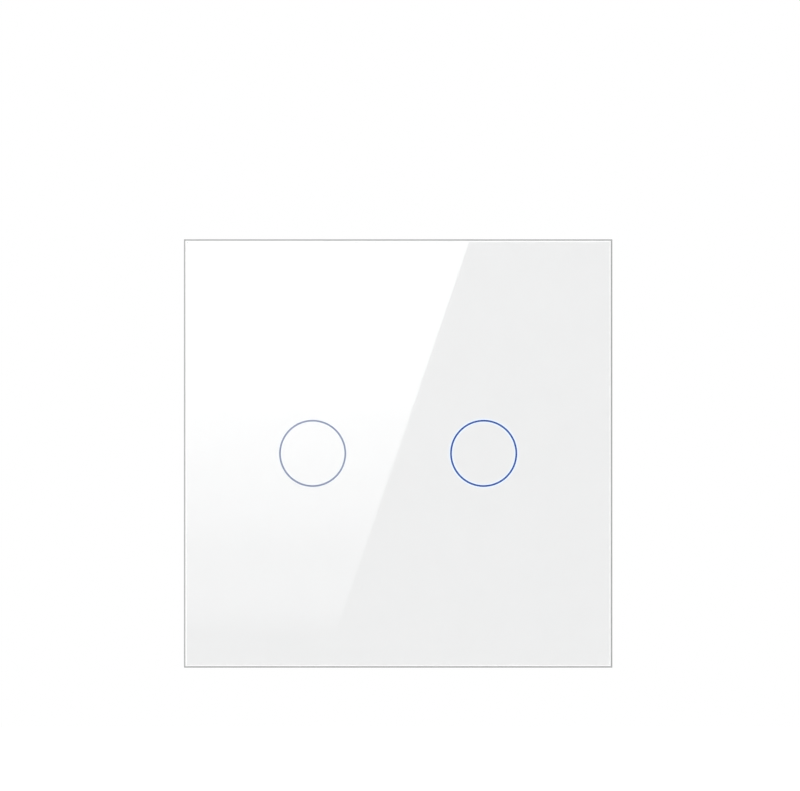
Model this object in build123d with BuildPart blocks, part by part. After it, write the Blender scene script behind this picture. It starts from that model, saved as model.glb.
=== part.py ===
"""Two-gang glass touch switch for a square wall box, drawn as its separate pieces.

Lengths are millimetres. X runs to the right as seen from the room, Z runs up and Y runs into the
wall. The origin is the centre of the plane where the mounting plate meets the wall, so the glass
lies at negative Y and the box behind the plate at positive Y.
"""

import os

from build123d import *

# Glass panel, its print and its tape
panel_side = 86.0
glass_thick = 3.0
glass_front_chamfer = 0.5
glass_rear_chamfer = 0.25
print_thick = 0.15
tape_thick = 0.25
tape_margin = 2.2
tape_window_clearance = 1.8

# Light rings and the lamps under them
ring_spacing = 34.4
ring_radius = 6.57
ring_line = 0.35
rib_clearance = 0.02
guide_half_width = 1.6
guide_clearance = 0.1
flange_step = 1.0
flange_thick = 0.6
lamp_long = 1.6
lamp_wide = 0.8
lamp_high = 0.6
lamp_clearance = 0.2
lamps_per_ring = 8

# Front frame
panel_overhang = 0.8
frame_face = 1.4
frame_wall = 1.6
frame_corner = 1.0
frame_edge_chamfer = 0.25
frame_wall_gap = 0.4
lamp_room = 0.8
pry_width = 10.0
pry_high = 1.2

# Touch board and the pieces on it
board_corner = 1.5
touch_board_margin = 4.6
touch_board_thick = 1.2
board_screw_inset = 3.0
boss_radius = 2.6
spring_wire = 0.45
spring_radius = 3.6
spring_turns = 2.25
spring_seat_gap = 0.02
touch_chip_z = -14.0
touch_chip_side = 7.0
touch_chip_high = 1.0
touch_chip_lead_count = 8
lead_pitch = 0.8
lead_width = 0.35
lead_reach = 1.0
lead_thick = 0.15
radio_z = 3.0
radio_width = 16.0
radio_tall = 20.0
radio_board_thick = 0.8
shield_width = 13.6
shield_tall = 12.0
shield_drop = 3.0
shield_high = 1.8
shield_wall = 0.2
castellation_pitch = 1.5
castellations = 10
castellation_radius = 0.35
small_chip_long = 1.6
small_chip_wide = 0.8
small_chip_high = 0.6
small_chip_pitch_x = 3.0
small_chip_pitch_z = 2.2
touch_passives_x = 13.0
touch_passive_columns = 3
touch_passive_rows = 4

# Plug and socket between the two boards
pin_pitch = 2.54
pin_columns = 4
pin_rows = 2
pin_side = 0.64
pin_chamfer = 0.16
plug_z = 19.4
plug_high = 2.0
plug_reach = 7.0
plug_back = 0.3
socket_gap = 0.4
contact_bore = 0.72
contact_side = 1.2
contact_floor = 0.2
contact_tail = 0.6

# Mounting plate
plate_thick = 1.8
plate_corner = 2.0
rim_thick = 1.5
rim_high = 3.2
rim_edge_chamfer = 0.3
board_room = 3.6
box_screw_spacing = 60.0
slot_long = 7.0
slot_radius = 2.1
register_deep = 0.6
register_clearance = 0.2
window_margin = 1.0
clamp_post_radius = 1.0
clamp_post_inset = 1.4

# Snap nibs of the frame and catches of the plate
snap_offset = 24.0
snap_width = 8.0
slit_wide = 0.8
slit_deep = 5.0
nib_high = 0.5
catch_high = 0.42
snap_long = 1.2
snap_clearance = 0.18
snap_lead = 0.3

# Rear box
box_deep = 24.8
box_corner = 2.0
box_edge_round = 0.8
box_wall = 1.8
pillar_inset = 2.6
pillar_radius = 2.8
shoulder_radius = 3.9
pillar_gap = 1.0
pilot_spare = 1.0
vents = 5
vent_long = 14.0
vent_wide = 1.2
vent_pitch = 3.0
vent_z = 6.0

# Screws
case_screw_radius = 1.3
case_screw_long = 10.0
case_head_radius = 2.5
case_head_high = 1.6
case_head_chamfer = 0.4
board_screw_radius = 0.95
board_screw_long = 2.9
board_head_radius = 1.9
board_head_high = 1.2
board_head_chamfer = 0.3
board_pilot_spare = 0.1
thread_clearance = 0.02
screw_hole_clearance = 0.3
cross_long = 2.2
cross_wide = 0.6
cross_deep = 0.6

# Power board
power_board_thick = 1.6
power_board_gap = 0.4
board_to_wall = 2.0
notch_clearance = 0.2
lead_radius = 0.3
hole_clearance = 0.12
tail_stub = 1.2

# Relays
relay_long = 20.4
relay_wide = 10.0
relay_high = 15.5
relay_wall = 0.8
relay_corner = 0.7
relay_edge_gap = 1.0
relay_step_gap = 0.4
relay_fit = 0.1
base_thick = 1.8
iron_thick = 0.8
core_radius = 1.6
pole_radius = 2.6
pole_thick = 0.3
bobbin_room = 0.2
bobbin_wall = 0.6
bobbin_fit = 0.1
cheek_width = 0.9
coil_high = 6.6
coil_set_back = 0.2
yoke_room = 1.0
armature_gap = 0.5
armature_tail = 1.4
armature_nose = 1.0
hinge_clearance = 0.05
leaf_thick = 0.25
leaf_width = 4.0
leaf_lap = 3.0
contact_drop = 6.0
contact_radius = 1.2
contact_thick = 0.6
contact_gap = 0.45
contact_margin = 0.3
post_thick = 0.5
post_width = 3.0
post_pin_width = 1.0
coil_pin_inset = 0.65
coil_pin_set_back = 0.6
coil_pin_gap = 0.35
coil_pin_high = 4.0

# Transformer
transformer_gap = 1.4
core_width = 13.2
core_high = 12.8
core_deep = 6.0
core_leg = 2.9
core_middle = 3.2
core_stand = 0.8
former_fit = 0.1
former_wall = 0.5
former_flange = 0.7
former_deep = 12.0
rail_deep = 2.6
rail_width = 12.0
winding_margin = 0.4
transformer_pin_pitch = 3.0
transformer_pin_count = 3
transformer_pin_in = 2.0

# Other parts on the rear of the power board
capacitor_radius = 4.0
capacitor_high = 12.0
capacitor_spacing = 9.0
capacitor_lead_pitch = 3.5
capacitor_groove = 0.35
capacitor_groove_at = 2.0
film_long = 12.5
film_thick = 5.0
film_high = 11.0
film_corner = 0.6
film_top_corner = 0.3
film_lead_pitch = 10.0
varistor_radius = 4.6
varistor_thick = 3.4
varistor_corner = 0.6
varistor_lead_pitch = 5.0
fuse_radius = 2.6
fuse_high = 7.6
fuse_chamfer = 0.3
fuse_lead_pitch = 3.0
lead_stand = 0.6
part_gap = 0.5

# Parts on the front of the power board
bridge_x = -9.0
bridge_z = 0.6
bridge_long = 4.8
bridge_wide = 3.9
bridge_high = 2.0
bridge_lead_pitch = 2.5
supply_chip_z = -0.6
supply_chip_long = 5.0
supply_chip_wide = 4.0
supply_chip_high = 1.6
supply_chip_pitch = 1.27
supply_chip_lead_count = 4
driver_x = 9.0
driver_pitch = 4.4
driver_long = 2.9
driver_wide = 1.3
driver_high = 1.0
driver_lead_pitch = 1.9
power_passive_columns = 6
power_passive_rows = 2
power_passives_drop = 4.6

# Terminal block
terminal_pitch = 7.62
terminals = 4
terminal_wall = 0.9
terminal_deep = 10.4
terminal_floor = 1.0
terminal_roof = 0.8
terminal_edge_gap = 0.2
roof_gap = 0.2
roof_lip = 0.5
cage_clearance = 0.2
cage_set_back = 0.4
cage_wall = 0.8
cage_long = 5.6
cage_top = 1.0
cage_play = 0.2
cage_travel = 2.5
cage_head_gap = 0.3
wire_room = 3.2
bar_thick = 0.8
bar_clearance = 0.2
bar_leg_width = 1.2
clamp_screw_radius = 1.45
clamp_thread_clearance = 0.05
clamp_tip_gap = 0.05
clamp_head_radius = 2.7
clamp_head_high = 1.8
clamp_head_chamfer = 0.3
clamp_slot_wide = 0.9
clamp_slot_deep = 1.0
head_play = 0.2
access_clearance = 0.5
wire_entry_width = 3.8
wire_entry_high = 3.0

# Depths in front of the wall, from the wall outwards
plate_front = -plate_thick
rim_front = plate_front - rim_high
touch_board_rear = plate_front - board_room
touch_board_front = touch_board_rear - touch_board_thick
frame_inner = touch_board_front - lamp_room
frame_front = frame_inner - frame_face
tape_front = frame_front - tape_thick
glass_rear = tape_front - print_thick
frame_rear = -frame_wall_gap
guide_rear = touch_board_front - lamp_high - guide_clearance
plug_end = touch_board_rear + plug_reach
socket_front = touch_board_rear + plug_high + socket_gap

# Depths behind the front of the wall
register_floor = -register_deep
power_board_front = board_to_wall
power_board_rear = power_board_front + power_board_thick
tail_front = power_board_front - tail_stub
box_floor = box_deep - box_wall
well_floor = power_board_rear + terminal_floor
cage_front = well_floor + cage_play
bar_front = cage_front + cage_wall + wire_room
bar_rear = bar_front + bar_thick
cage_top_front = bar_rear + cage_play
cage_rear = cage_top_front + cage_top
head_front = cage_rear + cage_travel + cage_head_gap
head_rear = head_front + clamp_head_high
roof_front = head_rear + head_play
terminal_rear = roof_front + terminal_roof
step_floor = terminal_rear + roof_gap
step_rear = step_floor + box_wall
relay_rear = power_board_rear + relay_high
base_rear = power_board_rear + base_thick
bar_iron_rear = base_rear + iron_thick
coil_front = bar_iron_rear + bobbin_wall
coil_rear = coil_front + coil_high
bobbin_rear = coil_rear + bobbin_wall
pole_face = bobbin_rear + pole_thick
armature_front = pole_face + armature_gap
armature_rear = armature_front + iron_thick
contact_y = armature_front - contact_drop
core_front = power_board_rear + core_stand
core_rear = core_front + core_high
former_front = core_front + core_leg + former_fit
former_rear = core_rear - core_leg - former_fit

# Widths and places that follow from the sizes above
half_spacing = ring_spacing / 2
ring_centres = [(-half_spacing, 0), (half_spacing, 0)]
guide_radius = ring_radius + guide_half_width
frame_side = panel_side - 2 * panel_overhang
frame_inside = frame_side - 2 * frame_wall
print_side = panel_side - 2 * glass_rear_chamfer
touch_board_side = frame_inside - 2 * touch_board_margin
board_screw_span = touch_board_side - 2 * board_screw_inset
plate_side = frame_inside - 2 * (nib_high + catch_high + snap_clearance)
# The square box is as large inside as the taller of its two rows: the terminals between the lower
# pillars, or the terminals, relays and safety capacitor on top of each other up to the pillars.
terminal_width = terminals * terminal_pitch + terminal_wall
pillar_room = pillar_gap + shoulder_radius + pillar_inset
box_stack = (2 * terminal_edge_gap + terminal_deep + box_wall + relay_step_gap + relay_long
             + part_gap + film_thick + pillar_room)
box_inside = max(box_stack, terminal_width + 2 * pillar_room)
box_side = box_inside + 2 * box_wall
register_side = box_side + 2 * register_clearance
pillar_span = box_inside - 2 * pillar_inset
power_board_side = box_inside - 2 * power_board_gap
board_notch = power_board_side / 2 - pillar_span / 2 + pillar_radius + notch_clearance
clamp_post_x = power_board_side / 2 - clamp_post_inset
well_width = terminal_pitch - terminal_wall
terminal_bottom = -box_inside / 2 + terminal_edge_gap
terminal_top = terminal_bottom + terminal_deep
step_outer = terminal_top + terminal_edge_gap
step_inner = step_outer + box_wall
well_bottom = terminal_bottom + terminal_wall
well_top = terminal_top - terminal_wall
cage_width = well_width - 2 * cage_clearance
cage_bottom = well_bottom + cage_set_back
screw_z = cage_bottom + cage_long / 2
bar_width = cage_width - 2 * cage_wall - 2 * bar_clearance
bar_top = well_top - bar_clearance
leg_z = bar_top - bar_thick / 2
wire_y = bar_front - wire_room / 2
terminal_xs = [(index - (terminals - 1) / 2) * terminal_pitch for index in range(terminals)]
relay_x = box_inside / 2 - relay_edge_gap - relay_wide / 2
relay_z = step_inner + relay_step_gap + relay_long / 2
relay_inner_wide = relay_wide - 2 * relay_wall
relay_inner_long = relay_long - 2 * relay_wall
bobbin_side = relay_inner_wide - 2 * bobbin_room
iron_width = bobbin_side - 2 * (cheek_width + relay_fit)
coil_radius = bobbin_side / 2 - coil_set_back
coil_pin_x = bobbin_side / 2 - coil_pin_set_back
coil_pin_z = relay_inner_long / 2 - coil_pin_inset
coil_z = coil_pin_z - coil_pin_gap - bobbin_side / 2
yoke_z = coil_z - bobbin_side / 2 - yoke_room - iron_thick / 2
leaf_z = yoke_z - armature_tail
button_z = leaf_z - leaf_thick - contact_thick
fixed_button_z = button_z - contact_gap
post_z = fixed_button_z - contact_thick
plug_width = pin_columns * pin_pitch
plug_tall = pin_rows * pin_pitch
transformer_z = plug_z - plug_tall / 2 - transformer_gap - former_deep / 2
core_window = (core_width - 2 * core_leg - core_middle) / 2
former_width = core_width - 2 * core_leg - 2 * former_fit
tube_width = core_middle + 2 * former_fit + 2 * former_wall
tube_deep = core_deep + 2 * former_fit + 2 * former_wall
rail_z = former_deep / 2 - rail_deep / 2
capacitor_z = step_inner + part_gap + capacitor_radius
top_row_z = relay_z + relay_long / 2 + part_gap
film_z = top_row_z + film_thick / 2
varistor_z = top_row_z + varistor_thick / 2
film_x = -(core_width / 2 + part_gap + part_gap + film_long / 2)
varistor_x = core_width / 2 + part_gap + part_gap + varistor_radius
fuse_x = varistor_x
fuse_z = varistor_z + varistor_thick / 2 + part_gap + fuse_radius
passives_z = leg_z - power_passives_drop
lead_hole = lead_radius + hole_clearance
sides = {"left": -1, "right": 1}

pieces = []


def keep(part, label):
    """Name a finished piece and add it to the list of pieces to be written."""
    part.label = label
    pieces.append(part)


def front_plane(y, x=0, z=0):
    """Plane at depth y that faces the room: its local x is X and its local y is Z."""
    return Plane((x, y, z), x_dir=(1, 0, 0), z_dir=(0, -1, 0))


def rear_plane(y, x=0, z=0):
    """Plane at depth y that faces into the wall: its local x is -X and its local y is Z."""
    return Plane((x, y, z), x_dir=(-1, 0, 0), z_dir=(0, 1, 0))


def side_plane(angle, along):
    """Section plane of one of the four sides, turned about Y, at a distance along that side."""
    return Plane.YZ.rotated((0, angle, 0)).offset(along)


def wedges(base, peak, y_front, y_rear, out):
    """Snap wedges on all four sides, two a side, from a wall at distance base to a crest at peak."""
    middle = (y_front + y_rear) / 2
    with BuildPart() as crests:
        for angle in (0, 90, 180, 270):
            for along in (-snap_offset, snap_offset):
                with BuildSketch(side_plane(angle, along)):
                    Polygon((y_front, base + out), (y_front, base), (middle, peak), (y_rear, base),
                            (y_rear, base + out), align=None)
                extrude(amount=snap_width / 2, both=True)
    return crests.part


def cross_screws(seat, grid, head_radius, head_high, head_chamfer, shank_radius, shank_long):
    """Pan-head cross-slot screws, one at each place of the grid, with their heads on the seat."""
    with BuildPart() as screws:
        with BuildSketch(seat):
            with GridLocations(*grid):
                Circle(head_radius)
        extrude(amount=head_high)
        chamfer(screws.edges().group_by(Axis(seat.origin, seat.z_dir))[-1], head_chamfer)
        with BuildSketch(seat):
            with GridLocations(*grid):
                Circle(shank_radius)
        extrude(amount=-shank_long)
        with BuildSketch(seat.offset(head_high)):
            with GridLocations(*grid):
                Rectangle(cross_long, cross_wide)
                Rectangle(cross_wide, cross_long)
        extrude(amount=-cross_deep, mode=Mode.SUBTRACT)
    return screws.part


def leaded_chip(board, centres, body_x, body_z, high, pitch, leads, four_sided=False):
    """Flat chips on a board plane: a body and rows of bent leads at its edges, at each centre."""
    rows = [(0, body_z, pitch, leads)]
    if four_sided:
        rows.append((90, body_x, pitch, leads))
    with BuildPart() as chip:
        with BuildSketch(board.offset(lead_thick)):
            with Locations(*centres):
                Rectangle(body_x, body_z)
        extrude(amount=high - lead_thick)
        for turn, span, step, count in rows:
            with BuildSketch(board):
                with Locations(*[Location((x, z, 0), turn) for x, z in centres]):
                    with GridLocations(step, span + lead_reach, count, 2):
                        Rectangle(lead_width, lead_reach)
            extrude(amount=lead_thick)
            with BuildSketch(board):
                with Locations(*[Location((x, z, 0), turn) for x, z in centres]):
                    with GridLocations(step, span + lead_thick, count, 2):
                        Rectangle(lead_width, lead_thick)
            extrude(amount=high / 2)
    return chip.part


def small_chips(board, centre_x, centre_z, columns, rows):
    """A field of separate small two-ended chips on a board plane."""
    with BuildPart() as chips:
        with BuildSketch(board):
            with Locations((centre_x, centre_z)):
                with GridLocations(small_chip_pitch_x, small_chip_pitch_z, columns, rows):
                    Rectangle(small_chip_long, small_chip_wide)
        extrude(amount=small_chip_high)
    return chips.part


# Front module: glass, print and tape

with BuildPart() as glass_panel:
    with BuildSketch(front_plane(glass_rear)):
        Rectangle(panel_side, panel_side)
    extrude(amount=glass_thick)
    chamfer(glass_panel.edges().group_by(Axis.Y)[0], glass_front_chamfer)
    chamfer(glass_panel.edges().group_by(Axis.Y)[-1], glass_rear_chamfer)
keep(glass_panel.part, "glass_panel")

# The print covers the back of the glass and leaves a thin round window at each touch area.
with BuildPart() as back_print:
    with BuildSketch(front_plane(tape_front)):
        Rectangle(print_side, print_side)
        with Locations(*ring_centres):
            Circle(ring_radius + ring_line / 2, mode=Mode.SUBTRACT)
            Circle(ring_radius - ring_line / 2)
    extrude(amount=print_thick)
keep(back_print.part, "back_print")

with BuildPart() as panel_tape:
    with BuildSketch(front_plane(frame_front)):
        Rectangle(frame_side - 2 * tape_margin, frame_side - 2 * tape_margin)
        with Locations(*ring_centres):
            Circle(guide_radius + tape_window_clearance, mode=Mode.SUBTRACT)
    extrude(amount=tape_thick)
keep(panel_tape.part, "panel_tape")

# Front frame: a face, four side walls with snap tongues, and bosses for the touch board

with BuildPart() as front_frame:
    with BuildSketch(front_plane(frame_rear)):
        RectangleRounded(frame_side, frame_side, frame_corner)
    extrude(amount=frame_rear - frame_front)
    for end in (0, -1):
        chamfer(front_frame.edges().group_by(Axis.Y)[end], frame_edge_chamfer)
    with BuildSketch(front_plane(frame_rear)):
        Rectangle(frame_inside, frame_inside)
    extrude(amount=frame_rear - frame_inner, mode=Mode.SUBTRACT)
    with BuildSketch(front_plane(frame_inner)):
        with Locations(*ring_centres):
            Circle(guide_radius + guide_clearance)
    extrude(amount=frame_face, mode=Mode.SUBTRACT)
    with BuildSketch(front_plane(touch_board_front)):
        with GridLocations(board_screw_span, board_screw_span, 2, 2):
            Circle(boss_radius)
    extrude(amount=lamp_room)
    with BuildSketch(front_plane(touch_board_front)):
        with GridLocations(board_screw_span, board_screw_span, 2, 2):
            Circle(board_screw_radius + thread_clearance)
    extrude(amount=board_screw_long - touch_board_thick + board_pilot_spare, mode=Mode.SUBTRACT)
    # Two slits beside each nib let a tongue of the wall bend outwards.
    for angle in (0, 90, 180, 270):
        for along in (-snap_offset, snap_offset):
            for edge in (-1, 1):
                slit_at = along + edge * (snap_width / 2 + slit_wide)
                with BuildSketch(side_plane(angle, slit_at)):
                    Polygon((frame_rear - slit_deep, frame_inside / 2), (frame_rear, frame_inside / 2),
                            (frame_rear, frame_side / 2), (frame_rear - slit_deep, frame_side / 2),
                            align=None)
                extrude(amount=slit_wide / 2, both=True, mode=Mode.SUBTRACT)
    add(wedges(frame_inside / 2, frame_inside / 2 - nib_high,
               frame_rear - snap_lead - snap_long, frame_rear - snap_lead, frame_wall / 2))
    # A notch in the bottom wall takes the screwdriver that pries the module off.
    with BuildSketch(front_plane(frame_rear, z=-(frame_side + frame_inside) / 4)):
        Rectangle(pry_width, frame_wall)
    extrude(amount=pry_high, mode=Mode.SUBTRACT)
keep(front_frame.part, "front_frame")

# Light guides: a thin rib stands in the print's window, a flange is held between frame and board

for side_name, side in sides.items():
    centre = side * half_spacing
    with BuildPart() as light_ring:
        with BuildSketch(front_plane(guide_rear, centre)):
            Circle(guide_radius)
            Circle(ring_radius - guide_half_width, mode=Mode.SUBTRACT)
        extrude(amount=guide_rear - tape_front)
        with BuildSketch(front_plane(tape_front, centre)):
            Circle(ring_radius + ring_line / 2 - rib_clearance)
            Circle(ring_radius - ring_line / 2 + rib_clearance, mode=Mode.SUBTRACT)
        extrude(amount=print_thick)
        with BuildSketch(front_plane(frame_inner + flange_thick, centre)):
            Circle(guide_radius + flange_step)
            Circle(ring_radius + lamp_wide / 2 + lamp_clearance, mode=Mode.SUBTRACT)
        extrude(amount=flange_thick)
    keep(light_ring.part, f"light_ring_{side_name}")

    with BuildPart() as ring_lamps:
        with BuildSketch(front_plane(touch_board_front, centre)):
            with PolarLocations(ring_radius, lamps_per_ring):
                Rectangle(lamp_wide, lamp_long)
        extrude(amount=lamp_high)
    keep(ring_lamps.part, f"ring_leds_{side_name}")

    spring_start = touch_board_front - spring_wire / 2 - spring_seat_gap
    spring_room = spring_start - tape_front - spring_wire / 2 - spring_seat_gap
    with BuildPart() as touch_spring:
        with BuildLine() as coil:
            Helix(spring_room / spring_turns, spring_room, spring_radius,
                  center=(centre, spring_start, 0), direction=(0, -1, 0))
        with BuildSketch(Plane(coil.line @ 0, z_dir=coil.line % 0)):
            Circle(spring_wire / 2)
        sweep(path=coil.line, is_frenet=True)
    keep(touch_spring.part, f"touch_spring_{side_name}")

# Touch board, its chips and its screws

with BuildPart() as touch_board:
    with BuildSketch(front_plane(touch_board_rear)):
        RectangleRounded(touch_board_side, touch_board_side, board_corner)
        with GridLocations(board_screw_span, board_screw_span, 2, 2):
            Circle(board_screw_radius + screw_hole_clearance, mode=Mode.SUBTRACT)
        with Locations((0, plug_z)):
            with GridLocations(pin_pitch, pin_pitch, pin_columns, pin_rows):
                Circle(pin_side * 2 ** 0.5 / 2 + hole_clearance, mode=Mode.SUBTRACT)
    extrude(amount=touch_board_thick)
keep(touch_board.part, "touch_board")

touch_board_back = rear_plane(touch_board_rear)
keep(cross_screws(touch_board_back, (board_screw_span, board_screw_span, 2, 2), board_head_radius,
                  board_head_high, board_head_chamfer, board_screw_radius, board_screw_long),
     "board_screws")
keep(leaded_chip(touch_board_back, [(0, touch_chip_z)], touch_chip_side, touch_chip_side,
                 touch_chip_high, lead_pitch, touch_chip_lead_count, four_sided=True), "touch_controller")

with BuildPart() as touch_board_chips:
    for side in sides.values():
        add(small_chips(touch_board_back, side * touch_passives_x, touch_chip_z,
                        touch_passive_columns, touch_passive_rows))
keep(touch_board_chips.part, "touch_board_chips")

# Radio module: a small board with half-round edge contacts under a metal can

with BuildPart() as radio_board:
    with BuildSketch(rear_plane(touch_board_rear, z=radio_z)):
        Rectangle(radio_width, radio_tall)
        with GridLocations(radio_width, castellation_pitch, 2, castellations):
            Circle(castellation_radius, mode=Mode.SUBTRACT)
    extrude(amount=radio_board_thick)
keep(radio_board.part, "radio_board")

with BuildPart() as radio_shield:
    with BuildSketch(rear_plane(touch_board_rear + radio_board_thick, z=radio_z - shield_drop)):
        RectangleRounded(shield_width, shield_tall, 2 * shield_wall)
    extrude(amount=shield_high)
    with BuildSketch(rear_plane(touch_board_rear + radio_board_thick, z=radio_z - shield_drop)):
        Rectangle(shield_width - 2 * shield_wall, shield_tall - 2 * shield_wall)
    extrude(amount=shield_high - shield_wall, mode=Mode.SUBTRACT)
keep(radio_shield.part, "radio_shield")

# Plug strip on the touch board and socket strip on the power board

with BuildPart() as plug_header:
    with BuildSketch(front_plane(touch_board_rear + plug_high, z=plug_z)):
        Rectangle(plug_width, plug_tall)
        with GridLocations(pin_pitch, pin_pitch, pin_columns, pin_rows):
            Rectangle(pin_side, pin_side, mode=Mode.SUBTRACT)
    extrude(amount=plug_high)
keep(plug_header.part, "plug_header")

with BuildPart() as plug_pins:
    with BuildSketch(front_plane(plug_end, z=plug_z)):
        with GridLocations(pin_pitch, pin_pitch, pin_columns, pin_rows):
            Rectangle(pin_side, pin_side)
    extrude(amount=plug_end - touch_board_front + plug_back)
    chamfer(plug_pins.edges().group_by(Axis.Y)[-1], pin_chamfer)
keep(plug_pins.part, "plug_pins")

with BuildPart() as socket_header:
    with BuildSketch(front_plane(power_board_front, z=plug_z)):
        Rectangle(plug_width, plug_tall)
        with GridLocations(pin_pitch, pin_pitch, pin_columns, pin_rows):
            Rectangle(contact_side, contact_side, mode=Mode.SUBTRACT)
    extrude(amount=power_board_front - socket_front)
keep(socket_header.part, "socket_header")

with BuildPart() as socket_contacts:
    with BuildSketch(front_plane(power_board_front, z=plug_z)):
        with GridLocations(pin_pitch, pin_pitch, pin_columns, pin_rows):
            Rectangle(contact_side, contact_side)
    extrude(amount=power_board_front - socket_front)
    with BuildSketch(front_plane(power_board_front - contact_floor, z=plug_z)):
        with GridLocations(pin_pitch, pin_pitch, pin_columns, pin_rows):
            Rectangle(contact_bore, contact_bore)
    extrude(amount=power_board_front - contact_floor - socket_front, mode=Mode.SUBTRACT)
    with BuildSketch(front_plane(power_board_front, z=plug_z)):
        with GridLocations(pin_pitch, pin_pitch, pin_columns, pin_rows):
            Rectangle(contact_tail, contact_tail)
    extrude(amount=-(power_board_thick + lead_stand))
keep(socket_contacts.part, "socket_contacts")

# Mounting plate: wall face with a recess for the box, rim, slots, window, posts and catches

with BuildPart() as mounting_plate:
    with BuildSketch(front_plane(0)):
        RectangleRounded(plate_side, plate_side, plate_corner)
    extrude(amount=plate_thick + rim_high)
    chamfer(mounting_plate.edges().group_by(Axis.Y)[0], rim_edge_chamfer)
    with BuildSketch(front_plane(plate_front)):
        RectangleRounded(plate_side - 2 * rim_thick, plate_side - 2 * rim_thick, plate_corner - rim_thick)
    extrude(amount=rim_high, mode=Mode.SUBTRACT)
    with BuildSketch(front_plane(0)):
        RectangleRounded(register_side, register_side, box_corner + register_clearance)
    extrude(amount=register_deep, mode=Mode.SUBTRACT)
    with BuildSketch(front_plane(0)):
        with GridLocations(box_screw_spacing, 0, 2, 1):
            SlotOverall(slot_long, 2 * slot_radius)
        with GridLocations(pillar_span, pillar_span, 2, 2):
            Circle(case_screw_radius + screw_hole_clearance)
        with Locations((0, plug_z)):
            Rectangle(plug_width + 2 * window_margin, plug_tall + 2 * window_margin)
    extrude(amount=plate_thick, mode=Mode.SUBTRACT)
    with BuildSketch(front_plane(power_board_front)):
        with GridLocations(2 * clamp_post_x, 0, 2, 1):
            Circle(clamp_post_radius)
    extrude(amount=power_board_front - register_floor)
    add(wedges(plate_side / 2, plate_side / 2 + catch_high, rim_front + snap_lead,
               rim_front + snap_lead + snap_long, -rim_thick / 2))
keep(mounting_plate.part, "mounting_plate")

keep(cross_screws(front_plane(plate_front), (pillar_span, pillar_span, 2, 2), case_head_radius,
                  case_head_high, case_head_chamfer, case_screw_radius, case_screw_long),
     "case_screws")

# Rear box: open to the front, with a step at the bottom behind which the terminals sit

with BuildPart() as rear_box:
    with BuildSketch(front_plane(box_deep)):
        RectangleRounded(box_side, box_side, box_corner)
    extrude(amount=box_deep - register_floor)
    fillet(rear_box.edges().group_by(Axis.Y)[-1], box_edge_round)
    with BuildSketch(front_plane(box_deep)):
        with Locations((0, step_outer)):
            Rectangle(box_side, box_side, align=(Align.CENTER, Align.MAX))
    extrude(amount=box_deep - step_rear, mode=Mode.SUBTRACT)
    step_face = rear_box.faces().filter_by(Plane.XZ).sort_by(Axis.Z)[0]
    fillet(step_face.edges().sort_by(Axis.Z)[:-1], box_edge_round)
    with BuildSketch(front_plane(step_floor)):
        Rectangle(box_inside, box_inside)
    extrude(amount=step_floor - register_floor, mode=Mode.SUBTRACT)
    with BuildSketch(front_plane(box_floor)):
        with Locations((0, step_inner)):
            Rectangle(box_inside, box_inside / 2 - step_inner, align=(Align.CENTER, Align.MIN))
    extrude(amount=box_floor - step_floor, mode=Mode.SUBTRACT)
    # Corner pillars take the case screws, and their shoulders carry the power board.
    for row_z, floor in ((-pillar_span / 2, step_floor), (pillar_span / 2, box_floor)):
        with BuildSketch(front_plane(floor, z=row_z)):
            with GridLocations(pillar_span, 0, 2, 1):
                Circle(pillar_radius)
        extrude(amount=floor - register_floor)
        with BuildSketch(front_plane(floor, z=row_z)):
            with GridLocations(pillar_span, 0, 2, 1):
                Circle(shoulder_radius)
            with Locations((0, -row_z)):
                Rectangle(box_inside, box_inside, mode=Mode.INTERSECT)
        extrude(amount=floor - power_board_rear)
    with BuildSketch(rear_plane(register_floor)):
        with GridLocations(pillar_span, pillar_span, 2, 2):
            Circle(case_screw_radius + thread_clearance)
    extrude(amount=case_screw_long - plate_thick - register_floor + pilot_spare, mode=Mode.SUBTRACT)
    with BuildSketch(front_plane(box_deep, z=vent_z)):
        with GridLocations(0, vent_pitch, 1, vents):
            SlotOverall(vent_long, vent_wide)
    extrude(amount=box_wall, mode=Mode.SUBTRACT)
    # Round holes reach the clamp screws from behind, square ones take the wires from below.
    with BuildSketch(front_plane(step_rear, z=screw_z)):
        with GridLocations(terminal_pitch, 0, terminals, 1):
            Circle(clamp_head_radius + access_clearance)
    extrude(amount=box_wall, mode=Mode.SUBTRACT)
    with BuildSketch(Plane.XY.offset(-box_side / 2)):
        with Locations((0, wire_y)):
            with GridLocations(terminal_pitch, 0, terminals, 1):
                Rectangle(wire_entry_width, wire_entry_high)
    extrude(amount=box_wall, mode=Mode.SUBTRACT)
keep(rear_box.part, "rear_box")

# Relays: cover, base with bobbin, winding, iron, armature with leaf, fixed contact and pins


def relay_case(x):
    """Open-fronted cover that stands on the board over the relay."""
    with BuildPart() as case:
        with BuildSketch(front_plane(relay_rear, x, relay_z)):
            RectangleRounded(relay_wide, relay_long, relay_corner)
        extrude(amount=relay_high)
        with BuildSketch(front_plane(relay_rear - relay_wall, x, relay_z)):
            Rectangle(relay_inner_wide, relay_inner_long)
        extrude(amount=relay_high - relay_wall, mode=Mode.SUBTRACT)
    return case.part


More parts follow.
